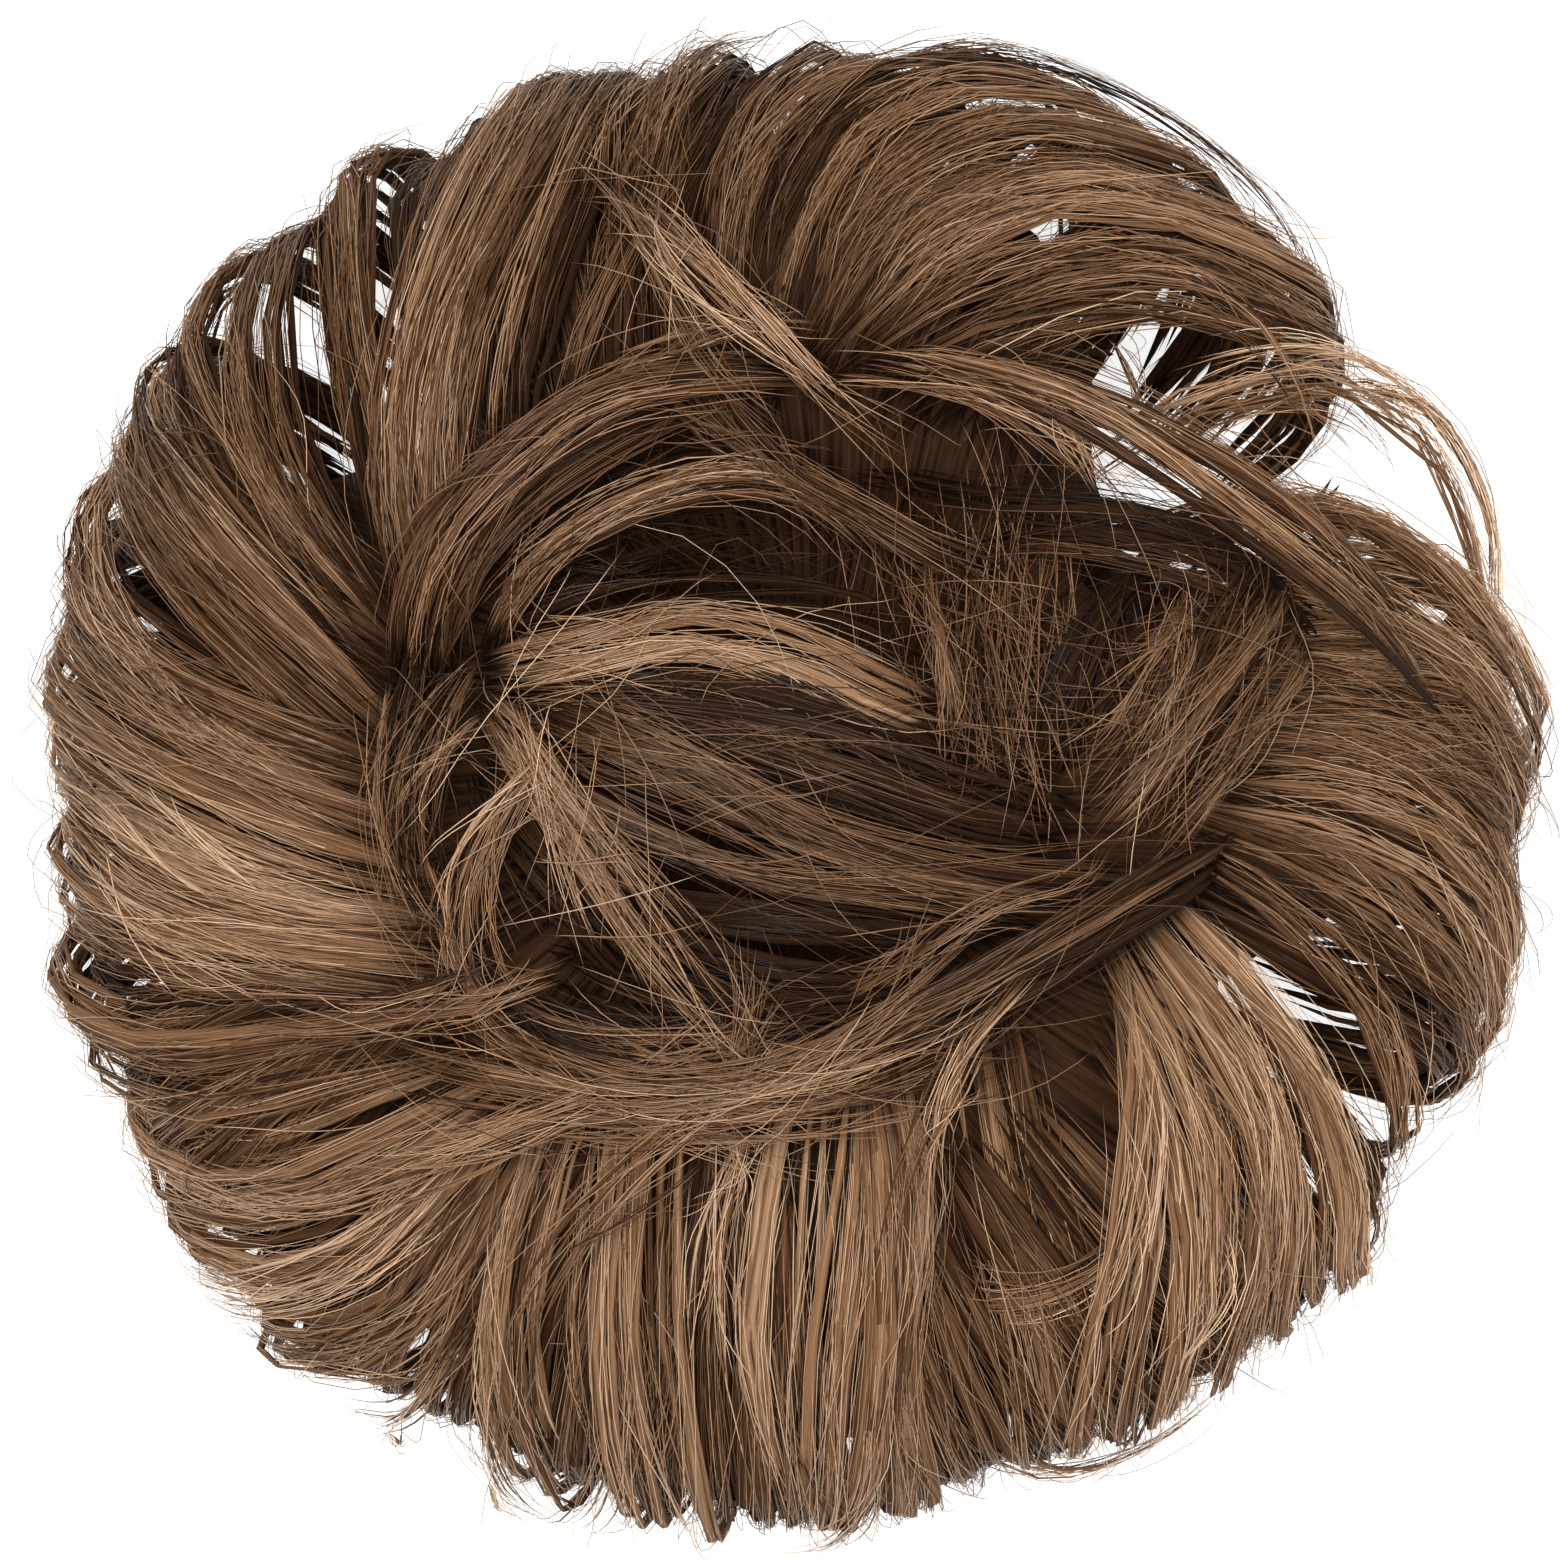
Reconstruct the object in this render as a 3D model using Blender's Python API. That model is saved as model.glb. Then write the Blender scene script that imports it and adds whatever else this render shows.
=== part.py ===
"""Top knot hairpiece: a messy bun of false hair on an elastic band.

The bun lies face up with its elastic band underneath. X runs to the right and Y to the top of the face,
Z is up, and the surface that the bun lies on is z = 0. Lengths in the tables are millimetres.

Nodes:
    hair           every lock, fused to the dense hair that they spring from, with the well for the
                   wearer's own knot open at the bottom
    weft_binding   the sewn ring that the hair is rooted in, with the thread loops that hold the band
    elastic_band   the elastic ring that goes round the wearer's own knot of hair
"""

import math
from collections import namedtuple

import bmesh
import bpy
from mathutils import Matrix, Vector

MM = 0.001
POLE_MERGE = 0.000001
SLIVER = 0.00002
FLAT_ENOUGH = math.radians(3.5)

# The elastic band and the binding round it
BAND_INNER_RADIUS = 19.0
BAND_CORD_RADIUS = 2.4
BAND_HEIGHT = 4.2
BAND_STEPS = 40
CORD_SIDES = 8
FIT_GAP = 0.5

BINDING_WIDTH = 8.0
BINDING_HEIGHT = 7.4
BINDING_ROUNDING = 1.2
LOOP_COUNT = 8
LOOP_THREAD_RADIUS = 0.45
LOOP_STEPS = 10
LOOP_SIDES = 4

# The bun's outer form: a flattened dome with an off-centre hollow in its face
DOME_RADIUS = 79.0
DOME_FOOT = 12.0
DOME_RISE = 53.0
DOME_POWER = 2.6
HOLLOW_CENTRE = Vector((2.0, 23.0))
HOLLOW_RADIUS = 16.0
HOLLOW_DEPTH = 12.0
BODY_CENTRE = Vector((0.0, 0.0, 22.0))

# The dense hair inside, as a turned section from the ceiling of the well out and round to the face:
# radius and height of each corner
Corner = namedtuple("Corner", "radius height")
MASS_SECTION = (
    Corner(0.0, 38.0),
    Corner(10.0, 36.5),
    Corner(17.0, 31.0),
    Corner(19.4, 22.0),
    Corner(18.4, 8.3),
    Corner(25.5, 8.3),
    Corner(27.5, 7.75),
    Corner(33.0, 7.75),
    Corner(33.6, 3.2),
    Corner(50.0, 3.2),
    Corner(60.0, 10.0),
    Corner(66.0, 21.0),
    Corner(66.5, 31.0),
    Corner(62.0, 42.5),
    Corner(52.0, 51.5),
    Corner(40.0, 56.5),
    Corner(28.0, 57.0),
    Corner(18.0, 52.0),
    Corner(8.0, 47.0),
    Corner(0.0, 46.0),
)
MASS_STEPS = 30
MASS_FACE_FROM = 40.0
# Where loops stand clear of the dense hair, it is drawn in behind them. Angles are in degrees
Dent = namedtuple("Dent", "angle spread depth")
DENTS = (
    Dent(38.0, 20.0, 18.0),
    Dent(-24.0, 12.0, 18.0),
    Dent(137.0, 9.0, 10.0),
)
DENT_INNER_RADIUS = 40.0
DENT_FULL_RADIUS = 62.0

# A lock's section is a flat lens. Widths and thicknesses are shares of the lock's own, from root to tip
LOCK_SIDES = 6
LOCK_STEPS = 7
Share = namedtuple("Share", "along width thick")
RIM_TAPER = (
    Share(0.00, 0.55, 0.70),
    Share(0.25, 0.90, 1.00),
    Share(0.55, 1.10, 1.00),
    Share(0.80, 0.95, 0.85),
    Share(1.00, 0.35, 0.45),
)
CROWN_TAPER = (
    Share(0.00, 0.50, 0.55),
    Share(0.30, 1.00, 1.00),
    Share(0.70, 1.00, 1.00),
    Share(1.00, 0.45, 0.50),
)
ROOT_DIVE = 7.0
BELLY_HEIGHT = 27.0
BELLY_REACH = 1.5
TUCK_HEIGHT = 10.0
TUCK_REACH = -8.0
TIP_HEIGHT = 4.6
TIP_REACH = -21.0

# Locks that fan out over the rim. Root, crest and rim are places on the face; sweep is how many degrees
# the lock turns round the bun as it tucks under; lift raises it above the dome
RimLock = namedtuple("RimLock", "name root crest rim sweep width thick lift")
RIM_LOCKS = (
    RimLock("fan_left_01", (-40, 6), (-52, 15), (-63, 29), -16, 11, 7, 0),
    RimLock("fan_left_02", (-40, 3), (-56, 9), (-68, 19), -16, 10, 7, -1),
    RimLock("fan_left_03", (-38, 0), (-57, 3), (-70, 10), -14, 12, 7, 1),
    RimLock("fan_left_04", (-36, -6), (-56, -4), (-70, 3), -14, 12, 7, 2),
    RimLock("fan_left_05", (-36, -12), (-55, -10), (-70, -4), -12, 12, 7, 1),
    RimLock("fan_left_06", (-36, -17), (-55, -16), (-70, -12), -9, 12, 7, 2),
    RimLock("fan_lower_left_01", (-35, -20), (-54, -22), (-68, -21), -8, 11, 7, -2),
    RimLock("fan_lower_left_02", (-32, -24), (-51, -28), (-65, -29), -8, 12, 7, 0),
    RimLock("fan_lower_left_03", (-30, -27), (-47, -35), (-61, -36), -8, 12, 7, 1),
    RimLock("fan_lower_left_04", (-28, -30), (-42, -42), (-56, -44), -8, 11, 7, 0),
    RimLock("fan_lower_left_05", (-26, -31), (-37, -47), (-50, -50), -7, 11, 7, 0),
    RimLock("fan_bottom_01", (-23, -31), (-32, -49), (-39, -58), -2, 9, 6, -1),
    RimLock("fan_bottom_02", (-20, -29), (-27, -49), (-28, -64), 6, 11, 7, 1),
    RimLock("fan_bottom_03", (-16, -29), (-20, -50), (-20, -68), 4, 12, 7, 1),
    RimLock("fan_bottom_04", (-11, -29), (-13, -50), (-11, -69), 2, 11, 7, 0),
    RimLock("fan_bottom_05", (-5, -28), (-5, -50), (-4, -68), 0, 11, 6, -4),
    RimLock("fan_bottom_06", (3, -28), (3, -50), (3, -69), -2, 10, 6, 0),
    RimLock("fan_bottom_07", (9, -28), (11, -50), (9, -69), -2, 11, 7, 2),
    RimLock("fan_lower_right_01", (17, -26), (19, -46), (22, -61), 5, 12, 6, -5),
    RimLock("fan_lower_right_02", (24, -22), (27, -44), (30, -61), 4, 12, 6, -2),
    RimLock("fan_lower_right_03", (30, -18), (35, -41), (37, -58), 3, 12, 7, 0),
    RimLock("fan_lower_right_04", (34, -14), (42, -34), (45, -53), 2, 12, 7, 0),
    RimLock("fan_lower_right_05", (37, -11), (48, -26), (53, -44), 2, 11, 7, 0),
    RimLock("fan_right_01", (40, -8), (54, -15), (63, -28), -6, 8, 6, 0),
    RimLock("fan_right_02", (42, -4), (57, -8), (68, -17), -10, 10, 6, 0),
    RimLock("fan_right_03", (43, 1), (58, 0), (70, -7), -12, 12, 7, -1),
    RimLock("fan_right_04", (44, 9), (59, 9), (71, 2), -10, 12, 7, 0),
    RimLock("fan_right_05", (43, 18), (58, 18), (70, 11), -8, 12, 7, 0),
    RimLock("fan_right_06", (40, 26), (55, 26), (67, 19), -8, 11, 7, 1),
    RimLock("loop_right_01", (36, 30), (52, 33), (64, 26), -12, 7, 5, 0),
    RimLock("loop_right_02", (33, 36), (51, 41), (64, 33), -14, 8, 6, 2),
    RimLock("loop_top_01", (15, 41), (31, 50), (49, 45), -8, 10, 7, 0),
    RimLock("loop_top_02", (10, 43), (27, 55), (47, 50), -10, 12, 7, 1),
    RimLock("loop_top_03", (5, 45), (21, 61), (42, 57), -12, 12, 7, 3),
    RimLock("loop_top_04", (0, 46), (13, 66), (34, 62), -12, 12, 7, 2),
    RimLock("loop_top_05", (-5, 46), (3, 66), (19, 69), -12, 12, 7, 1),
    RimLock("fan_top_01", (-10, 45), (-9, 60), (-4, 71), -8, 11, 7, -1),
    RimLock("fan_top_02", (-17, 42), (-17, 57), (-13, 70), -6, 12, 7, -1),
    RimLock("fan_top_03", (-24, 38), (-25, 54), (-20, 68), -6, 12, 7, 1),
    RimLock("fan_top_04", (-31, 32), (-32, 49), (-27, 65), -8, 12, 7, 1),
    RimLock("fan_top_05", (-36, 22), (-41, 42), (-36, 60), -8, 12, 7, 3),
    RimLock("fan_upper_left_01", (-40, 20), (-47, 35), (-49, 52), -8, 10, 6, -3),
    RimLock("fan_upper_left_02", (-43, 16), (-55, 32), (-58, 42), -10, 12, 7, 1),
)

# Locks that cross the face. The route is the places that the lock passes, and lift is its height above the
# dome at its root, its middle and its tip
CrownLock = namedtuple("CrownLock", "name route lift width thick")
CROWN_LOCKS = (
    CrownLock("arc_outer", ((-37, 4), (-35, 20), (-25, 34), (-10, 41), (6, 40)), (0, 5, 0), 11, 7),
    CrownLock("arc_inner", ((-34, 6), (-28, 20), (-17, 32), (-2, 36), (12, 36)), (-4, 0, -3), 9, 6),
    CrownLock("arc_middle", ((-32, 10), (-22, 24), (-8, 30), (6, 28), (16, 20)), (1, 9, 0), 7, 5),
    CrownLock("cross_upper", ((-19, 60), (-11, 50), (-3, 43), (6, 38), (16, 35)), (1, 5, 3), 9, 6),
    CrownLock("cross_right", ((2, 39), (17, 38), (33, 30), (48, 20), (61, 10)), (0, 6, 0), 11, 7),
    CrownLock("cross_low", ((-14, 44), (-3, 33), (11, 26), (26, 23), (42, 22)), (0, 8, 0), 8, 5),
    CrownLock("sweep_upper", ((-34, 10), (-20, 15), (-3, 14), (11, 9), (24, 1)), (0, 6, 0), 12, 7),
    CrownLock("sweep_middle", ((-33, 8), (-18, 7), (0, 1), (16, -5), (32, -9)), (-1, 2, -1), 12, 7),
    CrownLock("sweep_lower", ((-30, 3), (-16, -3), (2, -8), (20, -11), (38, -9)), (0, 2, 0), 10, 6),
    CrownLock("fall_left", ((-27, 4), (-20, -5), (-13, -15), (-4, -23), (6, -28)), (0, 3, 0), 10, 6),
    CrownLock("fall_middle", ((-17, -6), (-6, -14), (7, -18), (20, -18), (32, -13)), (-2, -1, -2), 12, 6),
    CrownLock("hook", ((-20, 12), (-26, -1), (-29, -13), (-23, -23), (-10, -28)), (3, 6, 3), 8, 6),
    CrownLock("knot_left", ((-37, 18), (-37, 4), (-34, -9), (-30, -19), (-20, -26)), (-1, 2, 0), 11, 7),
    CrownLock("band_low", ((-42, -25), (-24, -28), (-3, -29), (17, -25), (36, -14)), (0, 5, 0), 11, 7),
    CrownLock("band_rise", ((-8, -28), (9, -23), (23, -15), (34, -8), (44, -3)), (0, 2, 0), 9, 6),
    CrownLock("drop_right", ((47, 24), (43, 13), (35, 2), (27, -6), (19, -12)), (1, 6, 2), 14, 8),
    CrownLock("short_tail", ((13, 28), (15, 18), (16, 9), (17, 1), (17, -6)), (4, 6, 3), 7, 5),
    CrownLock("veil_right", ((21, 28), (25, 17), (29, 6), (31, -4), (30, -13)), (-3, 1, -2), 12, 6),
)


def clear_scene():
    for thing in list(bpy.data.objects):
        bpy.data.objects.remove(thing)


def hollow_depth(x, y):
    """How far the hollow lowers the face at a place."""
    from_hollow = (Vector((x, y)) - HOLLOW_CENTRE).length / HOLLOW_RADIUS
    return HOLLOW_DEPTH * math.exp(-(from_hollow**2))


def dome_height(x, y):
    """Height of the bun's face above the surface that it lies on."""
    share = min(1.0, math.hypot(x, y) / DOME_RADIUS)
    dome = DOME_FOOT + DOME_RISE * math.sqrt(1.0 - share**DOME_POWER)
    return dome - hollow_depth(x, y)


def polar(radius, degrees, height):
    turn = math.radians(degrees)
    return Vector((radius * math.cos(turn), radius * math.sin(turn), height))


def rim_route(lock):
    """From under the crown, over the dome and round the rim to a tip tucked under the bun."""
    reach = math.hypot(*lock.rim)
    bearing = math.degrees(math.atan2(lock.rim[1], lock.rim[0]))
    return (
        Vector((*lock.root, dome_height(*lock.root) - ROOT_DIVE)),
        Vector((*lock.crest, dome_height(*lock.crest) + lock.lift)),
        Vector((*lock.rim, dome_height(*lock.rim) + 0.5 * lock.lift)),
        polar(reach + BELLY_REACH, bearing + 0.5 * lock.sweep, BELLY_HEIGHT),
        polar(reach + TUCK_REACH, bearing + 0.85 * lock.sweep, TUCK_HEIGHT),
        polar(reach + TIP_REACH, bearing + lock.sweep, TIP_HEIGHT),
    )


def crown_route(lock):
    """Over the face, at the dome's height plus the lock's own lift."""
    count = len(lock.route)
    points = []
    for step, (x, y) in enumerate(lock.route):
        points.append(Vector((x, y, dome_height(x, y) + between(lock.lift, step / (count - 1)))))
    return points


def between(values, along):
    """A value at a share of the way along evenly spaced values."""
    place = along * (len(values) - 1)
    first = min(int(place), len(values) - 2)
    return values[first] + (values[first + 1] - values[first]) * (place - first)


def taper_at(taper, along):
    """Width and thickness shares at a share of the way along a lock."""
    for low, high in zip(taper, taper[1:]):
        if along <= high.along:
            share = (along - low.along) / (high.along - low.along)
            return (
                low.width + (high.width - low.width) * share,
                low.thick + (high.thick - low.thick) * share,
            )
    return taper[-1].width, taper[-1].thick


def smooth_curve(points, steps):
    """Evenly spaced points on a Catmull-Rom curve through the given points."""
    ends = [2 * points[0] - points[1], *points, 2 * points[-1] - points[-2]]
    fine = []
    pieces = 12
    for i in range(1, len(ends) - 2):
        a, b, c, d = ends[i - 1 : i + 3]
        for k in range(pieces):
            t = k / pieces
            fine.append(
                0.5
                * (2 * b + (c - a) * t + (2 * a - 5 * b + 4 * c - d) * t**2 + (3 * b - a - 3 * c + d) * t**3)
            )
    fine.append(points[-1].copy())
    travelled = [0.0]
    for p, q in zip(fine, fine[1:]):
        travelled.append(travelled[-1] + (q - p).length)
    spaced = []
    at = 0
    for k in range(steps + 1):
        target = travelled[-1] * k / steps
        while at < len(fine) - 2 and travelled[at + 1] < target:
            at += 1
        share = (target - travelled[at]) / (travelled[at + 1] - travelled[at])
        spaced.append(fine[at].lerp(fine[at + 1], min(1.0, share)))
    return spaced


def new_object(name, bm, material=None):
    mesh = bpy.data.meshes.new(name)
    bm.to_mesh(mesh)
    bm.free()
    thing = bpy.data.objects.new(name, mesh)
    bpy.context.scene.collection.objects.link(thing)
    if material:
        mesh.materials.append(material)
    return thing


def lock_form(name, route, taper, width, thick):
    """A lock as a flat lens swept along its route, its flat side facing out of the bun."""
    spine = smooth_curve(route, LOCK_STEPS)
    bm = bmesh.new()
    rings = []
    for step, point in enumerate(spine):
        before, after = spine[max(0, step - 1)], spine[min(LOCK_STEPS, step + 1)]
        along = (after - before).normalized()
        outward = (point - BODY_CENTRE).normalized()
        across = along.cross(outward).normalized()
        outward = across.cross(along)
        wide, deep = taper_at(taper, step / LOCK_STEPS)
        ring = []
        for side in range(LOCK_SIDES):
            turn = 2 * math.pi * side / LOCK_SIDES
            aside = across * (0.5 * width * wide * math.cos(turn))
            rise = outward * (0.5 * thick * deep * math.sin(turn))
            ring.append(bm.verts.new((point + aside + rise) * MM))
        rings.append(ring)
    for low, high in zip(rings, rings[1:]):
        for side in range(LOCK_SIDES):
            after = (side + 1) % LOCK_SIDES
            bm.faces.new((low[side], low[after], high[after], high[side]))
    bm.faces.new(rings[0][::-1])
    bm.faces.new(rings[-1])
    bmesh.ops.recalc_face_normals(bm, faces=bm.faces)
    return new_object(name, bm)


def turned_form(name, section, steps, draw_in, material=None):
    """A section turned about Z. It is a ring if the section is clear of the axis, and otherwise has its two
    ends on the axis. draw_in gives how far a corner moves in at an angle."""
    is_ring = section[0].radius > 0
    bm = bmesh.new()
    rings = []
    for step in range(steps):
        degrees = 360.0 * step / steps
        ring = []
        for corner in section:
            radius = corner.radius - draw_in(degrees, corner)
            ring.append(bm.verts.new(polar(radius, degrees, corner.height) * MM))
        rings.append(ring)
    for low, high in zip(rings, rings[1:] + rings[:1]):
        for side in range(len(section) if is_ring else len(section) - 1):
            after = (side + 1) % len(section)
            bm.faces.new((low[side], low[after], high[after], high[side]))
    bmesh.ops.remove_doubles(bm, verts=bm.verts, dist=POLE_MERGE)
    bmesh.ops.recalc_face_normals(bm, faces=bm.faces)
    return new_object(name, bm, material)


def mass_dent(degrees, corner):
    reach = (corner.radius - DENT_INNER_RADIUS) / (DENT_FULL_RADIUS - DENT_INNER_RADIUS)
    drawn_in = 0.0
    for dent in DENTS:
        off = (degrees - dent.angle + 180.0) % 360.0 - 180.0
        drawn_in += dent.depth * math.exp(-((off / dent.spread) ** 2))
    return drawn_in * max(0.0, min(1.0, reach))


def no_dent(degrees, corner):
    return 0.0


def sink_face(mass):
    """Lowers the face of the dense hair by the hollow, as far down as the face goes."""
    for vertex in mass.data.vertices:
        x, y, z = vertex.co / MM
        if z > MASS_FACE_FROM:
            vertex.co.z -= hollow_depth(x, y) * MM


def fuse(base, others, name):
    """Boolean union of the others into the base, which takes the name."""
    forms = bpy.data.collections.new(name + "_forms")
    bpy.context.scene.collection.children.link(forms)
    for other in others:
        for holder in other.users_collection:
            holder.objects.unlink(other)
        forms.objects.link(other)
        other.hide_render = True
        other.display_type = "WIRE"
    union = base.modifiers.new("fuse", "BOOLEAN")
    union.operation = "UNION"
    union.operand_type = "COLLECTION"
    union.collection = forms
    union.use_self = True
    base.name = name
    apply_modifiers(base)
    keep_outer_body(base)
    return base


def apply_modifiers(thing):
    graph = bpy.context.evaluated_depsgraph_get()
    solid = bpy.data.meshes.new_from_object(thing.evaluated_get(graph))
    thing.modifiers.clear()
    thing.data = solid


def keep_outer_body(thing):
    """Deletes loose scraps and sealed pockets that a union can leave, and keeps the one outer body."""
    bm = bmesh.new()
    bm.from_mesh(thing.data)
    bmesh.ops.dissolve_degenerate(bm, edges=bm.edges, dist=SLIVER)
    bmesh.ops.dissolve_limit(bm, angle_limit=FLAT_ENOUGH, verts=bm.verts, edges=bm.edges)
    bmesh.ops.triangulate(bm, faces=bm.faces)
    left = set(bm.faces)
    bodies = []
    while left:
        stack = [left.pop()]
        body = list(stack)
        while stack:
            for edge in stack.pop().edges:
                if len(edge.link_faces) != 2:
                    continue
                for face in edge.link_faces:
                    if face in left:
                        left.discard(face)
                        body.append(face)
                        stack.append(face)
        bodies.append(body)
    bodies.sort(key=len)
    scraps = [face for body in bodies[:-1] for face in body]
    bmesh.ops.delete(bm, geom=scraps, context="FACES")
    bm.to_mesh(thing.data)
    bm.free()


def material(name, colour, roughness, metallic=0.0):
    made = bpy.data.materials.new(name)
    made.use_nodes = True
    shader = made.node_tree.nodes["Principled BSDF"]
    shader.inputs["Base Color"].default_value = (*colour, 1.0)
    shader.inputs["Roughness"].default_value = roughness
    shader.inputs["Metallic"].default_value = metallic
    return made


def make_hair(finish):
    mass = turned_form("hair", MASS_SECTION, MASS_STEPS, mass_dent, finish)
    sink_face(mass)
    locks = []
    for lock in RIM_LOCKS:
        locks.append(lock_form(lock.name, rim_route(lock), RIM_TAPER, lock.width, lock.thick))
    for lock in CROWN_LOCKS:
        locks.append(lock_form(lock.name, crown_route(lock), CROWN_TAPER, lock.width, lock.thick))
    return fuse(mass, locks, "hair")


def make_elastic_band(finish):
    bpy.ops.mesh.primitive_torus_add(
        major_radius=(BAND_INNER_RADIUS + BAND_CORD_RADIUS) * MM,
        minor_radius=BAND_CORD_RADIUS * MM,
        major_segments=BAND_STEPS,
        minor_segments=CORD_SIDES,
        location=(0, 0, BAND_HEIGHT * MM),
    )
    band = bpy.context.object
    band.name = "elastic_band"
    band.data.materials.append(finish)
    band.data.shade_smooth()
    return band


def make_weft_binding(finish):
    """A flat-bottomed ring just outside the band, with thread loops round the band's cord."""
    inner = BAND_INNER_RADIUS + 2 * BAND_CORD_RADIUS + FIT_GAP
    outer = inner + BINDING_WIDTH
    cut = BINDING_ROUNDING
    section = (
        Corner(inner, 0.0),
        Corner(outer - cut, 0.0),
        Corner(outer, cut),
        Corner(outer, BINDING_HEIGHT - cut),
        Corner(outer - cut, BINDING_HEIGHT),
        Corner(inner + cut, BINDING_HEIGHT),
        Corner(inner, BINDING_HEIGHT - cut),
    )
    ring = turned_form("weft_binding", section, BAND_STEPS, no_dent, finish)
    loops = []
    loop_radius = BAND_CORD_RADIUS + FIT_GAP + LOOP_THREAD_RADIUS
    for number in range(LOOP_COUNT):
        degrees = 360.0 * (number + 0.5) / LOOP_COUNT
        bpy.ops.mesh.primitive_torus_add(
            major_radius=loop_radius * MM,
            minor_radius=LOOP_THREAD_RADIUS * MM,
            major_segments=LOOP_STEPS,
            minor_segments=LOOP_SIDES,
        )
        loop = bpy.context.object
        loop.name = f"binding_loop_{number:02d}"
        centre = polar(BAND_INNER_RADIUS + BAND_CORD_RADIUS, degrees, BAND_HEIGHT) * MM
        stand = Matrix.Rotation(math.radians(90), 4, "X")
        turn = Matrix.Rotation(math.radians(degrees), 4, "Z")
        loop.data.transform(Matrix.Translation(centre) @ turn @ stand)
        loops.append(loop)
    return fuse(ring, loops, "weft_binding")


def centre_on_footprint(things, measured):
    """Moves everything so that the measured object's footprint is centred on the origin."""
    corners = [Vector(corner) for corner in measured.bound_box]
    middle = (corners[0] + corners[6]) / 2
    for thing in things:
        thing.location.x -= middle.x
        thing.location.y -= middle.y


def main():
    clear_scene()
    hair = make_hair(material("hair", (0.27, 0.16, 0.09), 0.5))
    band = make_elastic_band(material("elastic", (0.035, 0.025, 0.02), 0.8))
    binding = make_weft_binding(material("binding", (0.12, 0.07, 0.04), 0.9))
    centre_on_footprint((hair, band, binding), hair)


main()
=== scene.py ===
import math

import bpy
import numpy as np
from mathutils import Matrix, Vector


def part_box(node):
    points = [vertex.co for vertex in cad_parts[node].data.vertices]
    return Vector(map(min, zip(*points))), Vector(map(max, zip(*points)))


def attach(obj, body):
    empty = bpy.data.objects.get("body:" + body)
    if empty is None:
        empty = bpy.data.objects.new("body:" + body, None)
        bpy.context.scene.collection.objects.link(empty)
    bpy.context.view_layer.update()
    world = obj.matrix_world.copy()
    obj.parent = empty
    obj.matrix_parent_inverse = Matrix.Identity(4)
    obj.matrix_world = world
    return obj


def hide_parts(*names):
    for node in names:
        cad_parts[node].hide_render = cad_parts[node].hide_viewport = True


# Top knot hairpiece: locks of fine brown fibre round an elastic band, seen from straight above.
# Lengths in the tables are millimetres; X is right and Y is the top of the picture.

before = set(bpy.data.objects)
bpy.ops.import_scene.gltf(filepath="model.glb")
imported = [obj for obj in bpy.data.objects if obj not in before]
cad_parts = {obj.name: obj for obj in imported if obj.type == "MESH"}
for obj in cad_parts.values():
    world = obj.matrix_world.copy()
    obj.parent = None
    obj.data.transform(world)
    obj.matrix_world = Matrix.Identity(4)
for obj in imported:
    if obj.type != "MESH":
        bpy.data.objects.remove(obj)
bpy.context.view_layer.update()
mm = 0.001
scene = bpy.context.scene
bpy.ops.object.select_all(action="DESELECT")
print("frame loaded")


# Camera, floor and light

view = dict(distance=1200, aim=(-0.6, 0.6, 40), frameWidth=156.8, sensor=36)


def addCamera():
    bpy.ops.object.camera_add(location=[c * mm for c in (view["aim"][0], view["aim"][1], view["aim"][2] + view["distance"])])
    camera = bpy.context.object
    camera.name = "photoCamera"
    camera.data.sensor_width = view["sensor"]
    camera.data.lens = view["sensor"] * view["distance"] / view["frameWidth"]
    camera.data.clip_start = 0.01
    camera.data.clip_end = 20
    scene.camera = camera


studio = dict(
    floorSize=6.0, floorColour=(0.50, 0.50, 0.50), floorGlow=0.80,
    worldColour=(1.0, 1.0, 1.0), worldStrength=0.32,
    mainPlace=(-0.16, 0.08, 1.3), mainSize=0.50, mainPower=21,
    sidePlace=(0.7, -0.3, 0.9), sideSize=0.8, sidePower=5,
)


def addLight(name, place, size, power):
    bpy.ops.object.light_add(type="AREA", location=place)
    light = bpy.context.object
    light.name = name
    light.data.size = size
    light.data.energy = power
    light.rotation_euler = (Vector((0, 0, 0.04)) - Vector(place)).to_track_quat("-Z", "Y").to_euler()


def addStudio():
    bpy.ops.mesh.primitive_plane_add(size=studio["floorSize"], location=(0, 0, 0))
    floor = bpy.context.object
    floor.name = "studioFloor"
    paint = bpy.data.materials.new("studioPaper")
    paint.use_nodes = True
    shader = paint.node_tree.nodes["Principled BSDF"]
    shader.inputs["Base Color"].default_value = (*studio["floorColour"], 1)
    shader.inputs["Roughness"].default_value = 0.9
    shader.inputs["Specular IOR Level"].default_value = 0.1
    shader.inputs["Emission Color"].default_value = (1, 1, 1, 1)
    shader.inputs["Emission Strength"].default_value = studio["floorGlow"]
    floor.data.materials.append(paint)
    world = bpy.data.worlds.new("studioWorld")
    world.use_nodes = True
    background = world.node_tree.nodes["Background"]
    background.inputs["Color"].default_value = (*studio["worldColour"], 1)
    background.inputs["Strength"].default_value = studio["worldStrength"]
    scene.world = world
    addLight("mainLight", studio["mainPlace"], studio["mainSize"], studio["mainPower"])
    addLight("sideLight", studio["sidePlace"], studio["sideSize"], studio["sidePower"])
    scene.view_settings.view_transform = "Standard"


addCamera()
addStudio()
print("camera and studio ready")


# Shader maths: a socket with operators, and one method for any other node

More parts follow.
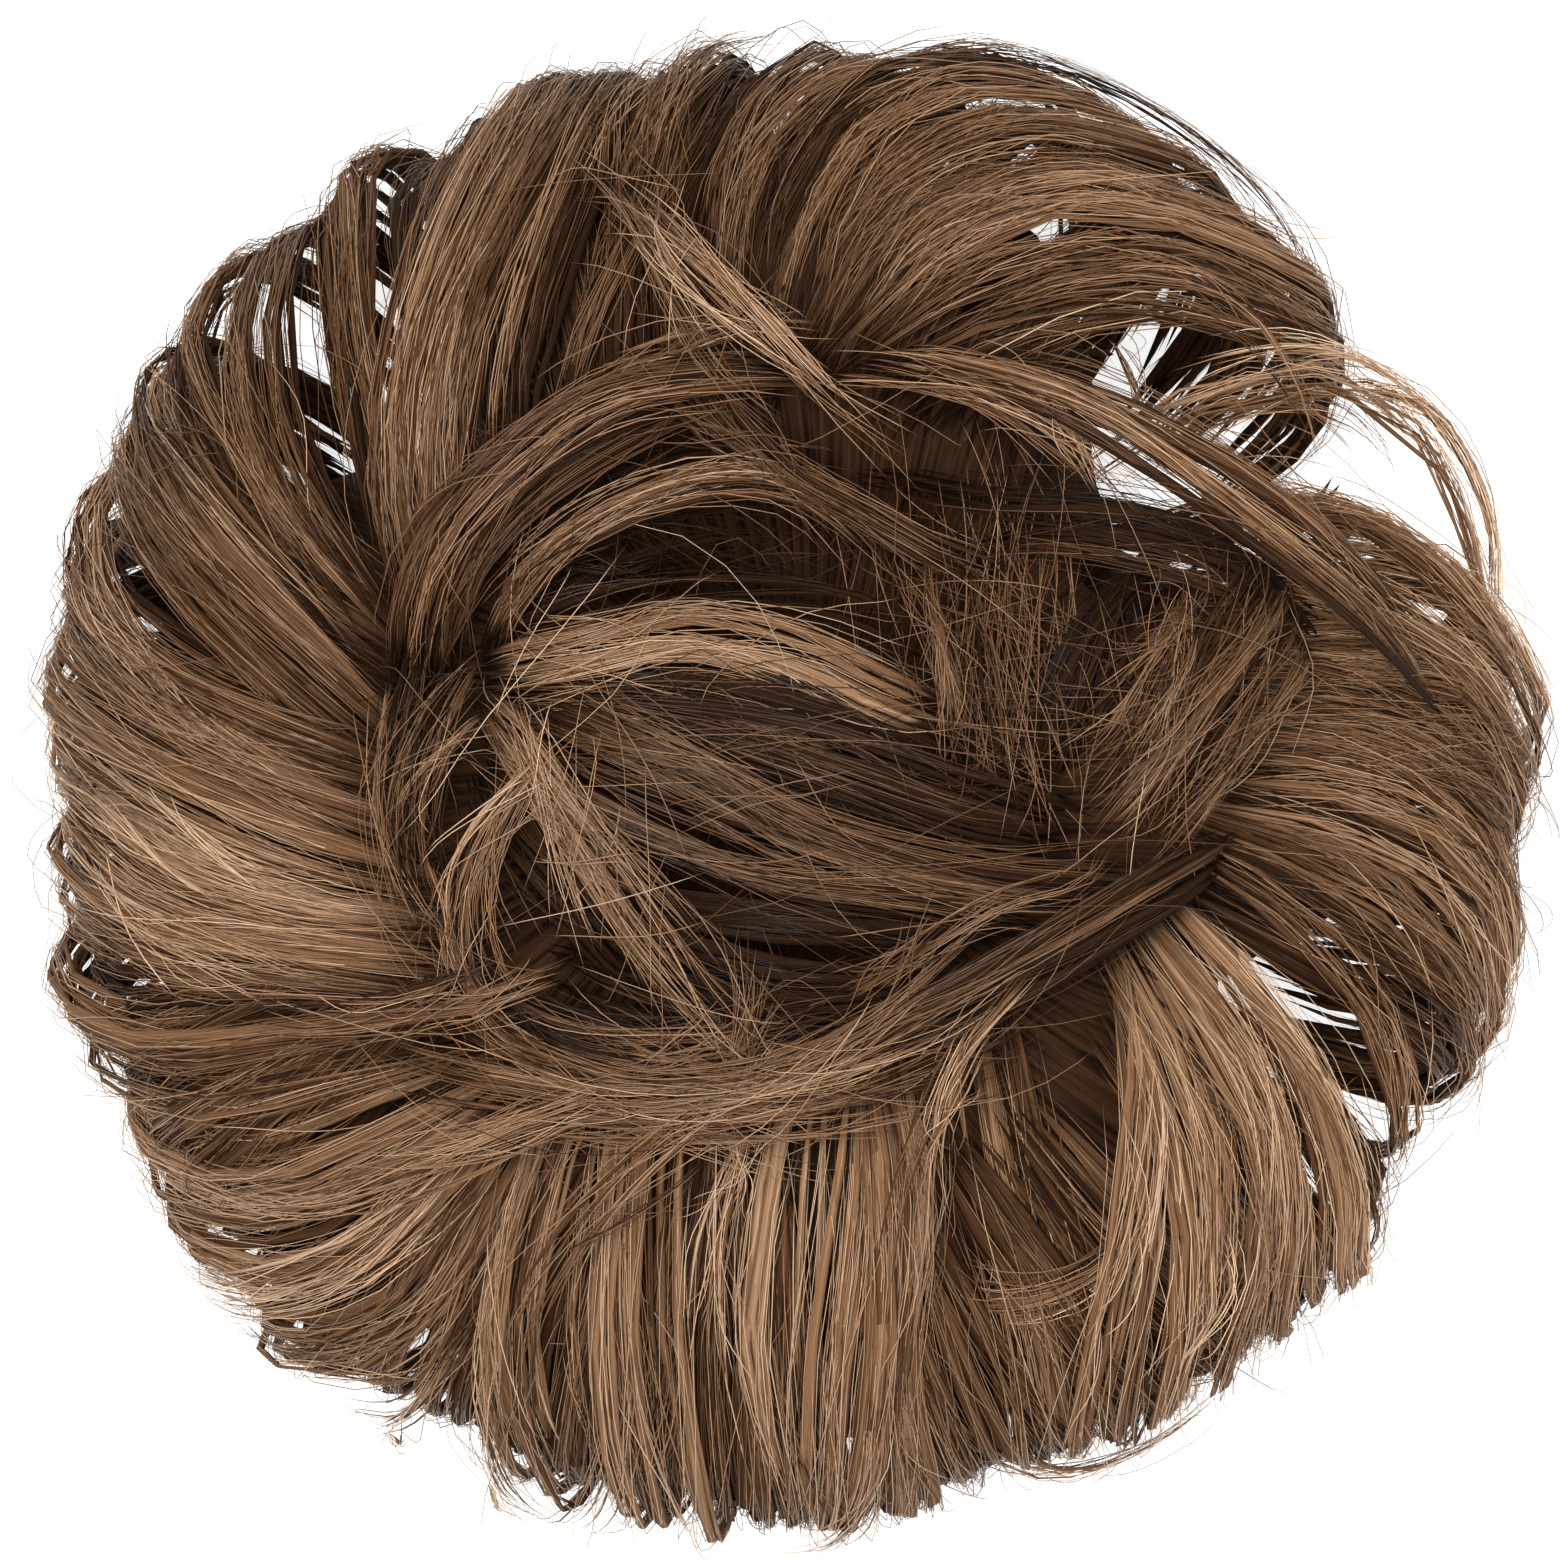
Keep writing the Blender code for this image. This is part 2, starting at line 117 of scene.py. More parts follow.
class Sock:
    def __init__(self, tree, out):
        self.tree = tree
        self.out = out

    def node(self, kind, settings, inputs, out=0):
        made = self.tree.nodes.new(kind)
        for key, value in settings.items():
            if key == "stops":
                ramp = made.color_ramp
                while len(ramp.elements) < len(value):
                    ramp.elements.new(0.5)
                for element, (place, colour) in zip(ramp.elements, value):
                    element.position = place
                    element.color = (*colour, 1) if len(colour) == 3 else colour
            else:
                setattr(made, key, value)
        for key, value in inputs.items():
            if isinstance(value, Sock):
                self.tree.links.new(value.out, made.inputs[key])
            else:
                made.inputs[key].default_value = value
        return Sock(self.tree, made.outputs[out])

    def sum(self, operation, first, second):
        return self.node("ShaderNodeMath", dict(operation=operation), {0: first, 1: second})

    def __add__(self, other):
        return self.sum("ADD", self, other)

    __radd__ = __add__

    def __mul__(self, other):
        return self.sum("MULTIPLY", self, other)

    __rmul__ = __mul__

    def __sub__(self, other):
        return self.sum("SUBTRACT", self, other)

    def __rsub__(self, other):
        return self.sum("SUBTRACT", other, self)


def newMaterial(name, settings):
    made = bpy.data.materials.new(name)
    made.use_nodes = True
    shader = made.node_tree.nodes["Principled BSDF"]
    for key, value in settings.items():
        shader.inputs[key].default_value = value
    return made, shader, Sock(made.node_tree, None)


# Fibre finish. The map runs across the tones from dark to light, and along each fibre from root to tip

fibre = dict(
    tones=(
        (0.0, (0.007, 0.003, 0.0015)),
        (0.2, (0.080, 0.035, 0.015)),
        (0.45, (0.235, 0.122, 0.060)),
        (0.7, (0.450, 0.272, 0.156)),
        (1.0, (0.760, 0.530, 0.350)),
    ),
    roughness=0.34, gloss=0.24,
)


def fibreMaterial(name, shade):
    made, shader, s = newMaterial(name, {"Roughness": fibre["roughness"], "Specular IOR Level": fibre["gloss"]})
    uv = s.node("ShaderNodeUVMap", dict(uv_map="OFBake"), {})
    split = s.node("ShaderNodeSeparateXYZ", {}, {0: uv})
    tone = split
    along = Sock(s.tree, split.out.node.outputs[1])
    stretched = s.node("ShaderNodeVectorMath", dict(operation="MULTIPLY"), {0: uv, 1: (70, 5, 1)})
    cloud = s.node("ShaderNodeTexNoise", {}, {"Vector": stretched, "Scale": 1.0, "Detail": 2.0})
    level = tone + (cloud - 0.5) * 0.16 + (along - 0.5) * 0.06 + shade
    ramp = s.node("ShaderNodeValToRGB", dict(stops=fibre["tones"]), {0: level})
    s.tree.links.new(ramp.out, shader.inputs["Base Color"])
    return made


def bodyMaterial():
    made, shader, s = newMaterial("lockBody", {"Roughness": 0.7, "Specular IOR Level": 0.06})
    uv = s.node("ShaderNodeUVMap", dict(uv_map="OFBake"), {})
    stretched = s.node("ShaderNodeVectorMath", dict(operation="MULTIPLY"), {0: uv, 1: (430, 4, 1)})
    cloud = s.node("ShaderNodeTexNoise", {}, {"Vector": stretched, "Scale": 1.0, "Detail": 4.0, "Roughness": 0.6})
    split = s.node("ShaderNodeSeparateXYZ", {}, {0: uv})
    level = (split + 0.05) * (cloud * 1.9 + 0.05) - 0.03
    ramp = s.node("ShaderNodeValToRGB", dict(stops=fibre["tones"]), {0: level})
    s.tree.links.new(ramp.out, shader.inputs["Base Color"])
    bump = s.node("ShaderNodeBump", {}, {"Height": cloud, "Strength": 0.6, "Distance": 0.0005})
    s.tree.links.new(bump.out, shader.inputs["Normal"])
    return made


strandFinish = fibreMaterial("hairFibre", 0.0)
bodyFinish = bodyMaterial()
print("hair finishes ready")


# The bun's face: a flattened dome with a hollow above its middle

dome = dict(radius=79, foot=12, rise=53, power=2.6, hollow=(2, 23), hollowRadius=16, hollowDepth=12)
bodyMiddle = np.array((0.0, 0.0, 18.0))


def domeHeight(x, y):
    share = np.clip(np.hypot(x, y) / dome["radius"], 0, 1)
    fromHollow = np.hypot(x - dome["hollow"][0], y - dome["hollow"][1]) / dome["hollowRadius"]
    return dome["foot"] + dome["rise"] * np.sqrt(1 - share ** dome["power"]) - dome["hollowDepth"] * np.exp(-fromHollow ** 2)


def polar(radius, degrees, height):
    turn = math.radians(degrees)
    return np.array((radius * math.cos(turn), radius * math.sin(turn), height))


def smoothCurve(points, steps):
    # Evenly spaced points on a Catmull-Rom curve
    p = np.asarray(points, float)
    p = np.concatenate(([2 * p[0] - p[1]], p, [2 * p[-1] - p[-2]]))
    fine = []
    for i in range(1, len(p) - 2):
        a, b, c, d = p[i - 1:i + 3]
        t = np.linspace(0, 1, 16, endpoint=False)[:, None]
        fine.append(0.5 * (2 * b + (c - a) * t + (2 * a - 5 * b + 4 * c - d) * t ** 2 + (3 * b - a - 3 * c + d) * t ** 3))
    fine = np.concatenate(fine + [p[-2:-1]])
    travelled = np.concatenate(([0], np.cumsum(np.linalg.norm(np.diff(fine, axis=0), axis=1))))
    wanted = np.linspace(0, travelled[-1], steps)
    return np.stack([np.interp(wanted, travelled, fine[:, k]) for k in range(3)], axis=1)


# How each lock runs. Route is places on the face, lifts its height over the dome from root to last place.
# Over: rolls round the rim and tucks under, turning by sweep degrees. Tips: ends free. Dive: sinks back in.

# Tone is each lock's own colour with painted light mixed in: locks in the hollow and the dip at the lower left (l1b,
# l2, l3b, l4, m0, r2, h4, h5, i6, q1b, d1) carry painted shade, and locks on the crests (c5, c6, m1, m4, n2, l3) carry
# painted highlights.
columns = ("name", "part", "tone", "width", "thick", "end", "sweep", "lifts", "route")
locks = (
    ("a1", "top", 0.62, 8, 5, "over", -6, (-4, 3, 4, 2, 0), ((-37, 14), (-41, 30), (-40, 45), (-36, 60), (-31, 69))),
    ("a2", "top", 0.52, 8, 5, "over", -6, (-4, 2, 3, 1, 0), ((-34, 18), (-36, 32), (-34, 48), (-29, 62), (-25, 71))),
    ("a3", "top", .46, 8, 5, "over", -6, (-5, 0, 2, 1, 0), ((-30, 30), (-31, 43), (-27, 57), (-20, 71))),
    ("a4", "top", .42, 8, 5, "over", -5, (-5, 0, 1, 1, 0), ((-25, 34), (-23, 46), (-18, 58), (-14, 72))),
    ("a5", "top", .34, 8, 5, "over", -5, (-5, -1, 0, 0), ((-19, 40), (-18, 52), (-15, 63), (-9, 73))),
    ("b1", "left", .42, 8, 5, "over", -8, (-5, -1, 1, 0, 0), ((-42, 18), (-50, 28), (-54, 42), (-53, 53))),
    ("b2", "left", .34, 7, 5, "over", -8, (-5, -2, 0, 0), ((-46, 18), (-56, 32), (-61, 43), (-59, 50))),
    ("b3", "left", .48, 7, 5, "over", -8, (-5, 0, 1, 0), ((-46, 12), (-58, 24), (-65, 34), (-66, 40))),
    ("b4", "left", 0.4, 9, 5, "over", -6, (-8, -7, -5, -3), ((-41, 30), (-44, 44), (-45, 56), (-45, 62))),
    ("c1", "left", .46, 7, 5, "over", -12, (-5, -2, 0, 0), ((-44, 3), (-58, 8), (-69, 16), (-72, 26))),
    ("c2", "left", 0.52, 8, 5, "over", -12, (-5, 1, 2, 0), ((-40, 4), (-50, 13), (-60, 23), (-67, 34))),
    ("c3", "left", .58, 9, 6, "over", -12, (-5, 2, 3, 1), ((-38, 0), (-50, 4), (-63, 10), (-73, 19))),
    ("c4", "left", .64, 9, 6, "over", -12, (-5, 2, 3, 1), ((-36, -8), (-48, -4), (-61, 2), (-74, 10))),
    ("c5", "left", .74, 9, 6, "over", -10, (-5, 2, 4, 1), ((-36, -13), (-50, -11), (-64, -6), (-75, 2))),
    ("c6", "left", 0.78, 9, 6, "over", -8, (-5, 2, 4, 1), ((-36, -18), (-50, -16), (-65, -13), (-75, -6))),
    ("c7", "left", .60, 9, 6, "over", -8, (-5, 0, 1, 0), ((-36, -21), (-50, -20), (-64, -19), (-74, -13))),
    ("d1", "left", .32, 9, 6, "over", -8, (-6, -3, -2, 0), ((-35, -22), (-50, -23), (-63, -24), (-73, -20))),
    ("d2", "bottom", .46, 9, 6, "over", -8, (-5, -1, 0, 0), ((-31, -25), (-47, -27), (-60, -30), (-71, -27))),
    ("d3", "bottom", .44, 9, 6, "over", -8, (-5, 0, 1, 0), ((-30, -27), (-45, -32), (-58, -36), (-68, -33))),
    ("d4", "bottom", .54, 9, 6, "over", -8, (-5, 1, 2, 0), ((-28, -30), (-42, -38), (-54, -42), (-65, -39))),
    ("d5", "bottom", .50, 8, 5, "over", -8, (-5, 0, 1, 0), ((-28, -32), (-39, -43), (-50, -48), (-60, -46))),
    ("d6", "bottom", .56, 5, 3, "tips", 0, (-4, 1, 0, -4), ((-30, -34), (-42, -46), (-55, -50), (-66, -47))),
    ("d7", "bottom", .50, 5, 3, "tips", 0, (-4, 0, -3, -9), ((-28, -36), (-37, -50), (-49, -55), (-60, -53))),
    ("d8", "bottom", .38, 8, 5, "over", -4, (-5, -2, -2, 0), ((-25, -36), (-33, -50), (-41, -57), (-50, -57))),
    ("d9", "bottom", .48, 3, 2, "tips", 0, (-4, -2, -8), ((-31, -52), (-37, -61), (-44, -66))),
    ("e10", "bottom", .52, 3.5, 2, "tips", 0, (-3, 0, -5, -12), ((-27, -50), (-30, -62), (-28, -71), (-21, -77))),
    ("e11", "bottom", .46, 3, 2, "tips", 0, (-3, -1, -6, -12), ((-15, -55), (-17, -66), (-21, -74), (-28, -78))),
    ("e12", "bottom", .56, 3, 2, "tips", 0, (-3, 0, -4, -10), ((7, -54), (8, -66), (5, -75), (0, -79))),
    ("e1", "bottom", .58, 8, 5, "over", 5, (-5, 0, 2, 0), ((-22, -28), (-29, -44), (-31, -58), (-28, -69))),
    ("e2", "bottom", .55, 8, 5, "over", 4, (-5, 1, 2, 0), ((-19, -28), (-24, -45), (-25, -60), (-21, -72))),
    ("e3", "bottom", .48, 8, 5, "over", 3, (-5, 0, 1, 0), ((-16, -28), (-18, -45), (-18, -60), (-15, -73))),
    ("e4", "bottom", .36, 8, 5, "over", 2, (-5, -2, -1, 0), ((-11, -29), (-12, -47), (-11, -61), (-9, -74))),
    ("e5", "bottom", .26, 9, 5, "over", 0, (-6, -5, -3, 0), ((-6, -29), (-6, -46), (-5, -60), (-3, -73))),
    ("e6", "bottom", .66, 5, 4, "over", -2, (-5, -1, 1, 0), ((3, -28), (1, -45), (0, -58), (1, -73))),
    ("e7", "bottom", 0.6, 8, 5, "over", -2, (-5, 1, 2, 0), ((9, -28), (10, -43), (8, -57), (6, -74))),
    ("e8", "bottom", .45, 7, 5, "over", 2, (-5, -1, 0, 0), ((12, -28), (15, -43), (12, -57), (15, -71))),
    ("e9", "bottom", .62, 4, 2, "free", 0, (0, 1, 1, 0), ((-4, -30), (-6.5, -41), (-7.5, -51), (-7, -61))),
    ("f1", "bottom", .38, 9, 5, "over", 5, (-7, -6, -4, -2), ((17, -26), (20, -44), (22, -56), (24, -67))),
    ("f2", "bottom", .42, 8, 5, "over", 4, (-6, -3, -1, 0), ((22, -23), (26, -42), (30, -55), (33, -66))),
    ("f3", "bottom", 0.58, 8, 5, "over", 3, (-4, 2, 3, 1), ((34, -20), (35, -36), (33, -50), (31, -66))),
    ("f4", "bottom", 0.54, 9, 6, "over", 3, (-5, 0, 2, 0), ((32, -17), (39, -34), (40, -50), (38, -64))),
    ("f5", "bottom", 0.55, 9, 6, "over", 2, (-5, 1, 2, 0), ((35, -14), (46, -30), (48, -45), (45, -59))),
    ("f6", "bottom", 0.56, 9, 6, "over", 2, (-5, 0, 1, 0), ((38, -11), (50, -25), (55, -39), (55, -50))),
    ("f7", "bottom", .34, 6, 4, "dive", 0, (-6, -5, -6, -9), ((38, -36), (31, -46), (22, -50), (12, -48))),
    ("f8", "bottom", .62, 4, 2, "free", 0, (0, 2, 2, 1), ((34, -22), (35, -33), (33, -45), (29, -56))),
    ("f9", "bottom", .40, 4, 3, "tips", 0, (-9, -10, -10, -10), ((14, -61), (25, -68), (36, -66), (46, -59))),
    ("g1", "right", .42, 4, 4, "over", -6, (-5, -1, 0, 0), ((40, -6), (51, -13), (59, -23), (62, -34))),
    ("g2", "right", .48, 8, 5, "over", -8, (-5, 0, 1, 0), ((42, -3), (57, -8), (67, -16), (71, -26))),
    ("g3", "right", .48, 9, 5, "over", -10, (-5, 0, 1, 0), ((44, 1), (59, 0), (70, -7), (73, -18))),
    ("g4", "right", .42, 9, 5, "over", -10, (-5, -1, 0, 0), ((44, 8), (58, 8), (70, 2), (75, -7))),
    ("g5", "right", .38, 9, 5, "over", -8, (-5, -1, 0, 0), ((44, 15), (58, 15), (70, 9), (75, 1))),
    ("h2", "right", .50, 9, 6, "over", -8, (-5, 1, 2, 0), ((38, 25), (52, 23), (65, 17), (74, 8))),
    ("h3", "right", .44, 6, 5, "over", -8, (-6, -3, -1, 0), ((50, 24), (62, 22), (70, 17), (75, 9))),
    ("i1", "top", .40, 9, 6, "over", -16, (-5, -1, 1, 0), ((-4, 46), (-1, 60), (8, 70), (22, 72))),
    ("i2", "top", .46, 10, 6, "over", -14, (-5, 0, 2, 0), ((0, 46), (7, 61), (21, 68), (38, 65))),
    ("i3", "top", .52, 10, 6, "over", -12, (-5, 1, 3, 1), ((3, 45), (13, 58), (29, 62), (47, 57))),
    ("i4", "top", .46, 9, 6, "over", -10, (-5, 0, 2, 1), ((6, 44), (18, 53), (34, 56), (52, 49))),
    ("i5", "top", .42, 8, 5, "over", -8, (-5, -1, 1, 0), ((10, 42), (22, 48), (37, 51), (53, 46))),
    ("i6", "top", .15, 7, 4, "dive", 0, (-6, -6, -7, -9), ((13, 40), (19, 42), (25, 43), (31, 43))),
    ("i7", "top", .40, 5, 3, "tips", 0, (-3, -3, -2, -4, -8), ((6, 71), (24, 73), (40, 65), (50, 55), (54, 42))),
    ("i9", "top", .36, 5, 4, "tips", 0, (-4, 0, 1, 0, -3), ((18, 46), (31, 49), (43, 47), (50, 40), (54, 30))),
    ("i8", "top", 0.4, 1.6, 2.5, "free", 0, (-3, 0, 1, 1), ((30, 46), (32.5, 41), (34.5, 35), (36, 28))),
    ("j1", "right", .50, 4.5, 4, "over", -8, (-4, 1, 2, 1, 0, 0), ((30, 32), (39, 38.5), (50, 42), (60, 39.5), (67, 31), (70, 20))),
    ("j2", "right", .38, 2.2, 2, "free", 0, (-5, -3, -4, -8), ((36, 33), (46, 36.5), (55, 36), (62, 31))),
    ("j3", "right", .44, 5, 4, "over", -8, (-5, -2, -1, 0), ((37, 26), (50, 29), (62, 25), (71, 16))),
    ("j4", "right", .52, 3, 3, "tips", 0, (-2, 1, 1, -4, -8), ((52, 40), (62, 38), (68, 29), (70, 18), (68, 6))),
    ("k1", "top", .44, 8, 5, "over", -6, (-5, -2, 0, 0), ((-9, 45), (-8, 58), (-4, 69), (3, 75))),
    ("k2", "top", 0.52, 5, 4, "tips", 0, (-3, -1, -3, -8), ((-14, 58), (-12, 67), (-8, 73), (-1, 77))),
    ("k3", "top", 0.5, 4, 3, "tips", 0, (-3, -2, -6), ((-19, 58), (-16, 68), (-13, 76))),
    ("l1", "crown", 0.56, 7, 5, "dive", 0, (0, 4, 5, 4, 0), ((-37, 8), (-34, 21), (-27, 30), (-18, 37), (-8, 39.5), (3, 40))),
    ("l1b", "crown", 0.3, 5, 4, "dive", 0, (-2, 2, 3, 2, -3), ((-35, 8), (-31, 20), (-24, 28), (-15, 34), (-6, 36.5))),
    ("l2", "crown", 0.0, 6, 4, "dive", 0, (-8, -8, -7, -8), ((-31, 12), (-24, 24), (-14, 31), (0, 34))),
    ("l3", "crown", 0.62, 4, 3, "dive", 0, (-1, 3, 6, 7, 4, -1), ((-31, 11), (-25, 21), (-17, 27), (-8, 30), (0, 29.5), (6, 26), (12, 21))),
    ("l3b", "crown", 0.04, 4, 3, "free", 0, (-2, -1, -1, -1, -2), ((-30, 13), (-23, 20), (-14, 24), (-4, 26), (6, 24))),
    ("l4", "crown", 0.0, 4, 2, "free", 0, (-3, -4, -5, -5), ((-29, 14), (-18, 20), (-5, 22), (8, 19))),
    ("m0", "crown", .12, 4, 4, "dive", 0, (-1, 1, 1, 0, -3), ((-32, 12), (-20, 17), (-6, 18.5), (6, 17), (14, 13))),
    ("m1", "crown", 0.72, 5, 4, "dive", 0, (0, 4, 5, 5, 2, -2), ((-31, 11), (-20, 13), (-9, 15), (1, 13), (9, 9), (17, 6))),
    ("m1b", "crown", 0.4, 7, 4, "dive", 0, (-1, 2, 3, 2, -3), ((-33, 10), (-20, 10), (-6, 9), (6, 5.5), (19, 1))),
    ("m1c", "crown", 0.38, 7, 4, "dive", 0, (-1, 3, 4, 3, 2, -1), ((-31, 9), (-18, 7), (-6, 4.5), (5, 1), (17, -3), (30, -5))),
    ("m2", "crown", 0.58, 6, 5, "dive", 0, (0, 3, 4, 3, 2, 0, -2), ((-30, 9), (-20, 5), (-10, 1), (0, -4), (10, -7), (22, -9), (36, -9))),
    ("m2b", "crown", 0.46, 6, 4, "dive", 0, (-1, 2, 3, 2, 1, -1), ((-31, 7), (-22, 1), (-12, -4), (-1, -8), (12, -10), (28, -12))),
    ("m3", "crown", 0.2, 9, 4, "dive", 0, (-3, -2, -2, -4), ((-12, 4), (2, 1), (14, -2), (28, -3))),
    ("m4", "crown", 0.74, 6, 4, "tips", 0, (0, 5, 6, 6, 5, 4), ((-31, 10), (-25, 2), (-18, -7), (-11, -16), (-4, -24), (3, -29))),
    ("m4b", "crown", .46, 5, 4, "dive", 0, (0, 2, 3, 1), ((-30, 3), (-26, -5), (-20, -12), (-14, -19))),
    ("m5", "crown", .22, 10, 5, "dive", 0, (-4, -3, -3, -4), ((-22, -10), (-8, -14), (6, -16), (24, -16))),
    ("m6", "crown", .26, 8, 4, "dive", 0, (-3, -2, -2, -4), ((-24, -16), (-10, -20), (6, -21), (22, -18))),
    ("n1", "crown", 0.6, 3, 3, "free", 0, (5, 7, 8, 7, 4, 2), ((-21, 11), (-24.5, 3), (-28.5, -5), (-30, -13), (-27.5, -20), (-20, -25))),
    ("n1b", "crown", .48, 4, 3, "free", 0, (1, 3, 4, 3, 1), ((-36, -4), (-33, -10), (-31, -17), (-26, -23), (-16, -27))),
    ("n1c", "crown", .36, 6, 4, "free", 0, (0, 1, 2, 2, 1), ((-36, -13), (-29, -19), (-19, -22.5), (-7, -24), (8, -22))),
    ("n1d", "crown", .44, 4, 3, "free", 0, (2, 3, 3, 1), ((-30, -21), (-19, -25), (-7, -25), (6, -24))),
    ("n2", "crown", 0.6, 5, 4, "free", 0, (0, 3, 5, 5, 4, 2, 0), ((-45, -24), (-32, -27), (-16, -29), (0, -27), (12, -21), (22, -13), (31, -7))),
    ("n2b", "crown", 0.5, 5, 4, "free", 0, (0, 3, 4, 4, 3, 0), ((-38, -20), (-24, -26), (-8, -29), (6, -28), (18, -24), (31, -16))),
    ("n3", "crown", 0.5, 4, 4, "free", 0, (0, 2, 3, 3, 2, 0), ((-46, -29), (-30, -31), (-14, -32.5), (4, -31.5), (18, -28), (33, -20))),
    ("n4", "crown", 0.5, 7, 4, "dive", 0, (-1, 2, 3, 2, 0), ((-2, -27), (12, -22), (24, -16), (34, -10), (44, -4))),
    ("n5", "crown", .68, 1.6, 1, "free", 0, (4, 6, 6, 5), ((2, -23), (12, -16), (20, -11), (28, -8.5), (31, -4))),
    ("n6", "bottom", .50, 5, 2, "free", 0, (4, 5, 4, 3, 2), ((8, -23), (-6, -30), (-18, -39), (-26, -50), (-29, -60))),
    ("n7", "bottom", .48, 5, 2, "free", 0, (4, 5, 4, 3, 2), ((-8, -27), (-22, -31), (-37, -37), (-49, -40), (-60, -38))),
    ("n8", "left", .50, 4, 2, "free", 0, (4, 5, 4, 3), ((-20, -14), (-33, -19), (-46, -22), (-60, -21))),
    ("n9", "bottom", .54, 4, 2, "free", 0, (4, 5, 4, 3), ((26, -15), (17, -25), (12, -37), (11, -50))),
    ("o1", "crown", .34, 5, 4, "free", 0, (-3, 1, 2, 1, 0, -2), ((-33, 20), (-36.5, 12), (-38, 2), (-37, -8), (-34, -16), (-28, -22))),
    ("o2", "crown", .44, 5, 3, "free", 0, (0, 4, 5, 3, 1), ((-29, 15), (-33, 8), (-35.5, 0), (-36, -8), (-33, -15))),
    ("p0", "crown", .18, 8, 4, "dive", 0, (-4, -3, -3, -5), ((40, 24), (32, 16), (27, 8), (24, 0))),
    ("p1", "crown", 0.58, 7, 5, "tips", 0, (0, 5, 6, 5, 2), ((48, 22), (42, 13), (35, 4), (29, -3), (24, -9))),
    ("p2", "crown", 0.5, 7, 5, "tips", 0, (0, 4, 5, 4, 1), ((50, 17), (44, 9), (38, 0), (32, -8))),
    ("p3", "crown", 0.54, 6, 4, "free", 0, (-1, 3, 4, 3), ((43, 22), (36, 13), (31, 5), (25, -2))),
    ("q1", "crown", 0.54, 1.8, 3, "free", 0, (2, 6, 6, 5, 2), ((13, 27), (14, 17), (15, 8), (17, -1))),
    ("q1b", "crown", 0.34, 1.6, 2, "free", 0, (0, 3, 3, 1), ((17, 25), (18.5, 14), (21, 4), (24, -4))),
    ("r1", "crown", 0.46, 2.6, 2.5, "dive", 0, (-1, 4, 7, 6, 3, 0), ((-12, 45), (-6, 36), (0, 30), (7, 26), (14, 22), (22, 20))),
    ("r1b", "crown", 0.4, 2.4, 2, "tips", 0, (0, 4, 6, 4, 2), ((-14, 42), (-8, 35), (-2, 31), (4, 25), (8, 19))),
    ("r2", "crown", .08, 4, 3, "free", 0, (-4, -4, -3, -3), ((2, 28), (10, 24), (20, 23), (33, 22))),
    ("s1", "crown", 0.64, 4, 3, "free", 0, (-1, 1, 4, 5, 4, 3, 1), ((-21, 66), (-14, 57), (-8, 50), (-2, 44), (3, 39), (9, 35), (15, 31))),
    ("s1b", "crown", 0.44, 3, 3, "free", 0, (-1, 1, 4, 4, 2), ((-22, 64), (-15, 56), (-10, 48), (-5, 41), (1, 36))),
    ("t1", "crown", .56, 2.4, 1.5, "free", 0, (1, 3, 5, 4), ((-20, 41), (-12, 43), (-4, 45), (5, 45))),
    ("u1", "crown", 0.62, 2.4, 1.5, "free", 0, (0, 3, 4, 5), ((-7.5, -38), (-6, -29), (-4, -20), (-3, -11))),
    ("h1", "crown", 0.58, 3, 3, "free", 0, (0, 5, 6, 6, 4, 1), ((0, 42), (11, 40), (19, 37.5), (26, 33), (33, 26.5), (39, 20))),
    ("h1b", "crown", 0.52, 6, 5, "dive", 0, (0, 4, 6, 6, 5, 3, 0), ((5, 42), (17, 40.5), (28, 36.5), (37, 30.5), (46, 24), (56, 16), (64, 7))),
    ("h1c", "crown", .42, 5, 4, "dive", 0, (-1, 3, 5, 4, 0), ((14, 41), (27, 38), (40, 32), (52, 24), (64, 13))),
    ("h4", "crown", .10, 4, 4, "dive", 0, (-6, -4, -1, 0, -2), ((6, 31), (18, 28), (30, 27), (42, 23.5), (54, 16))),
    ("h5", "crown", 0.2, 6, 4, "dive", 0, (-3, -1, 0, -2), ((18, 23), (30, 23.5), (42, 20.5), (52, 14))),
)

# Fans of hair: each flows from one guide to the next
sheetColumns = ("part", "guides", "bunches", "depth")
sheets = (
    ("top", "a1 a2 a3 a4 a5", 15, 4.0),
    ("left", "c3 c4 c5 c6 c7", 17, 4.5),
    ("bottom", "d1 d2 d3 d4 d5", 16, 4.5),
    ("bottom", "e1 e2 e3 e4", 13, 4.0),
    ("bottom", "e6 e7 e8", 7, 3.5),
    ("bottom", "f1 f2", 6, 3.5),
    ("bottom", "f3 f4 f5 f6", 16, 4.5),
    ("right", "g2 g3 g4 g5 h2", 19, 4.5),
    ("top", "i1 i2 i3 i4 i5", 19, 4.5),
)

roll = dict(rootLift=2.2, drop=((.5, 24), (-1.6, 16.8), (-8, 10.2), (-22, 5.2)), turned=(.3, .6, .85, 1), leastReach=66)
tapers = dict(
    over=((0, .15, .45, .8, 1), (.45, .8, 1, .9, .3)),
    tips=((0, .2, .55, .8, 1), (.5, 1, .8, .35, .08)),
    dive=((0, .12, .5, .85, 1), (.5, .85, 1, .9, .5)),
    free=((0, .2, .5, .8, 1), (.08, .7, 1, .45, .06)),
)
# How far the hairs of a lock stay apart, where its wisps run out
apart = dict(
    over=tapers["over"], dive=tapers["dive"],
    tips=((0, .2, .55, 1), (.5, 1, 1, 1.35)),
    free=((0, .2, .6, 1), (1.15, .9, 1, 1.35)),
)
fineSteps = 48
s = np.linspace(0, 1, fineSteps)[None]
rng = np.random.default_rng(7)


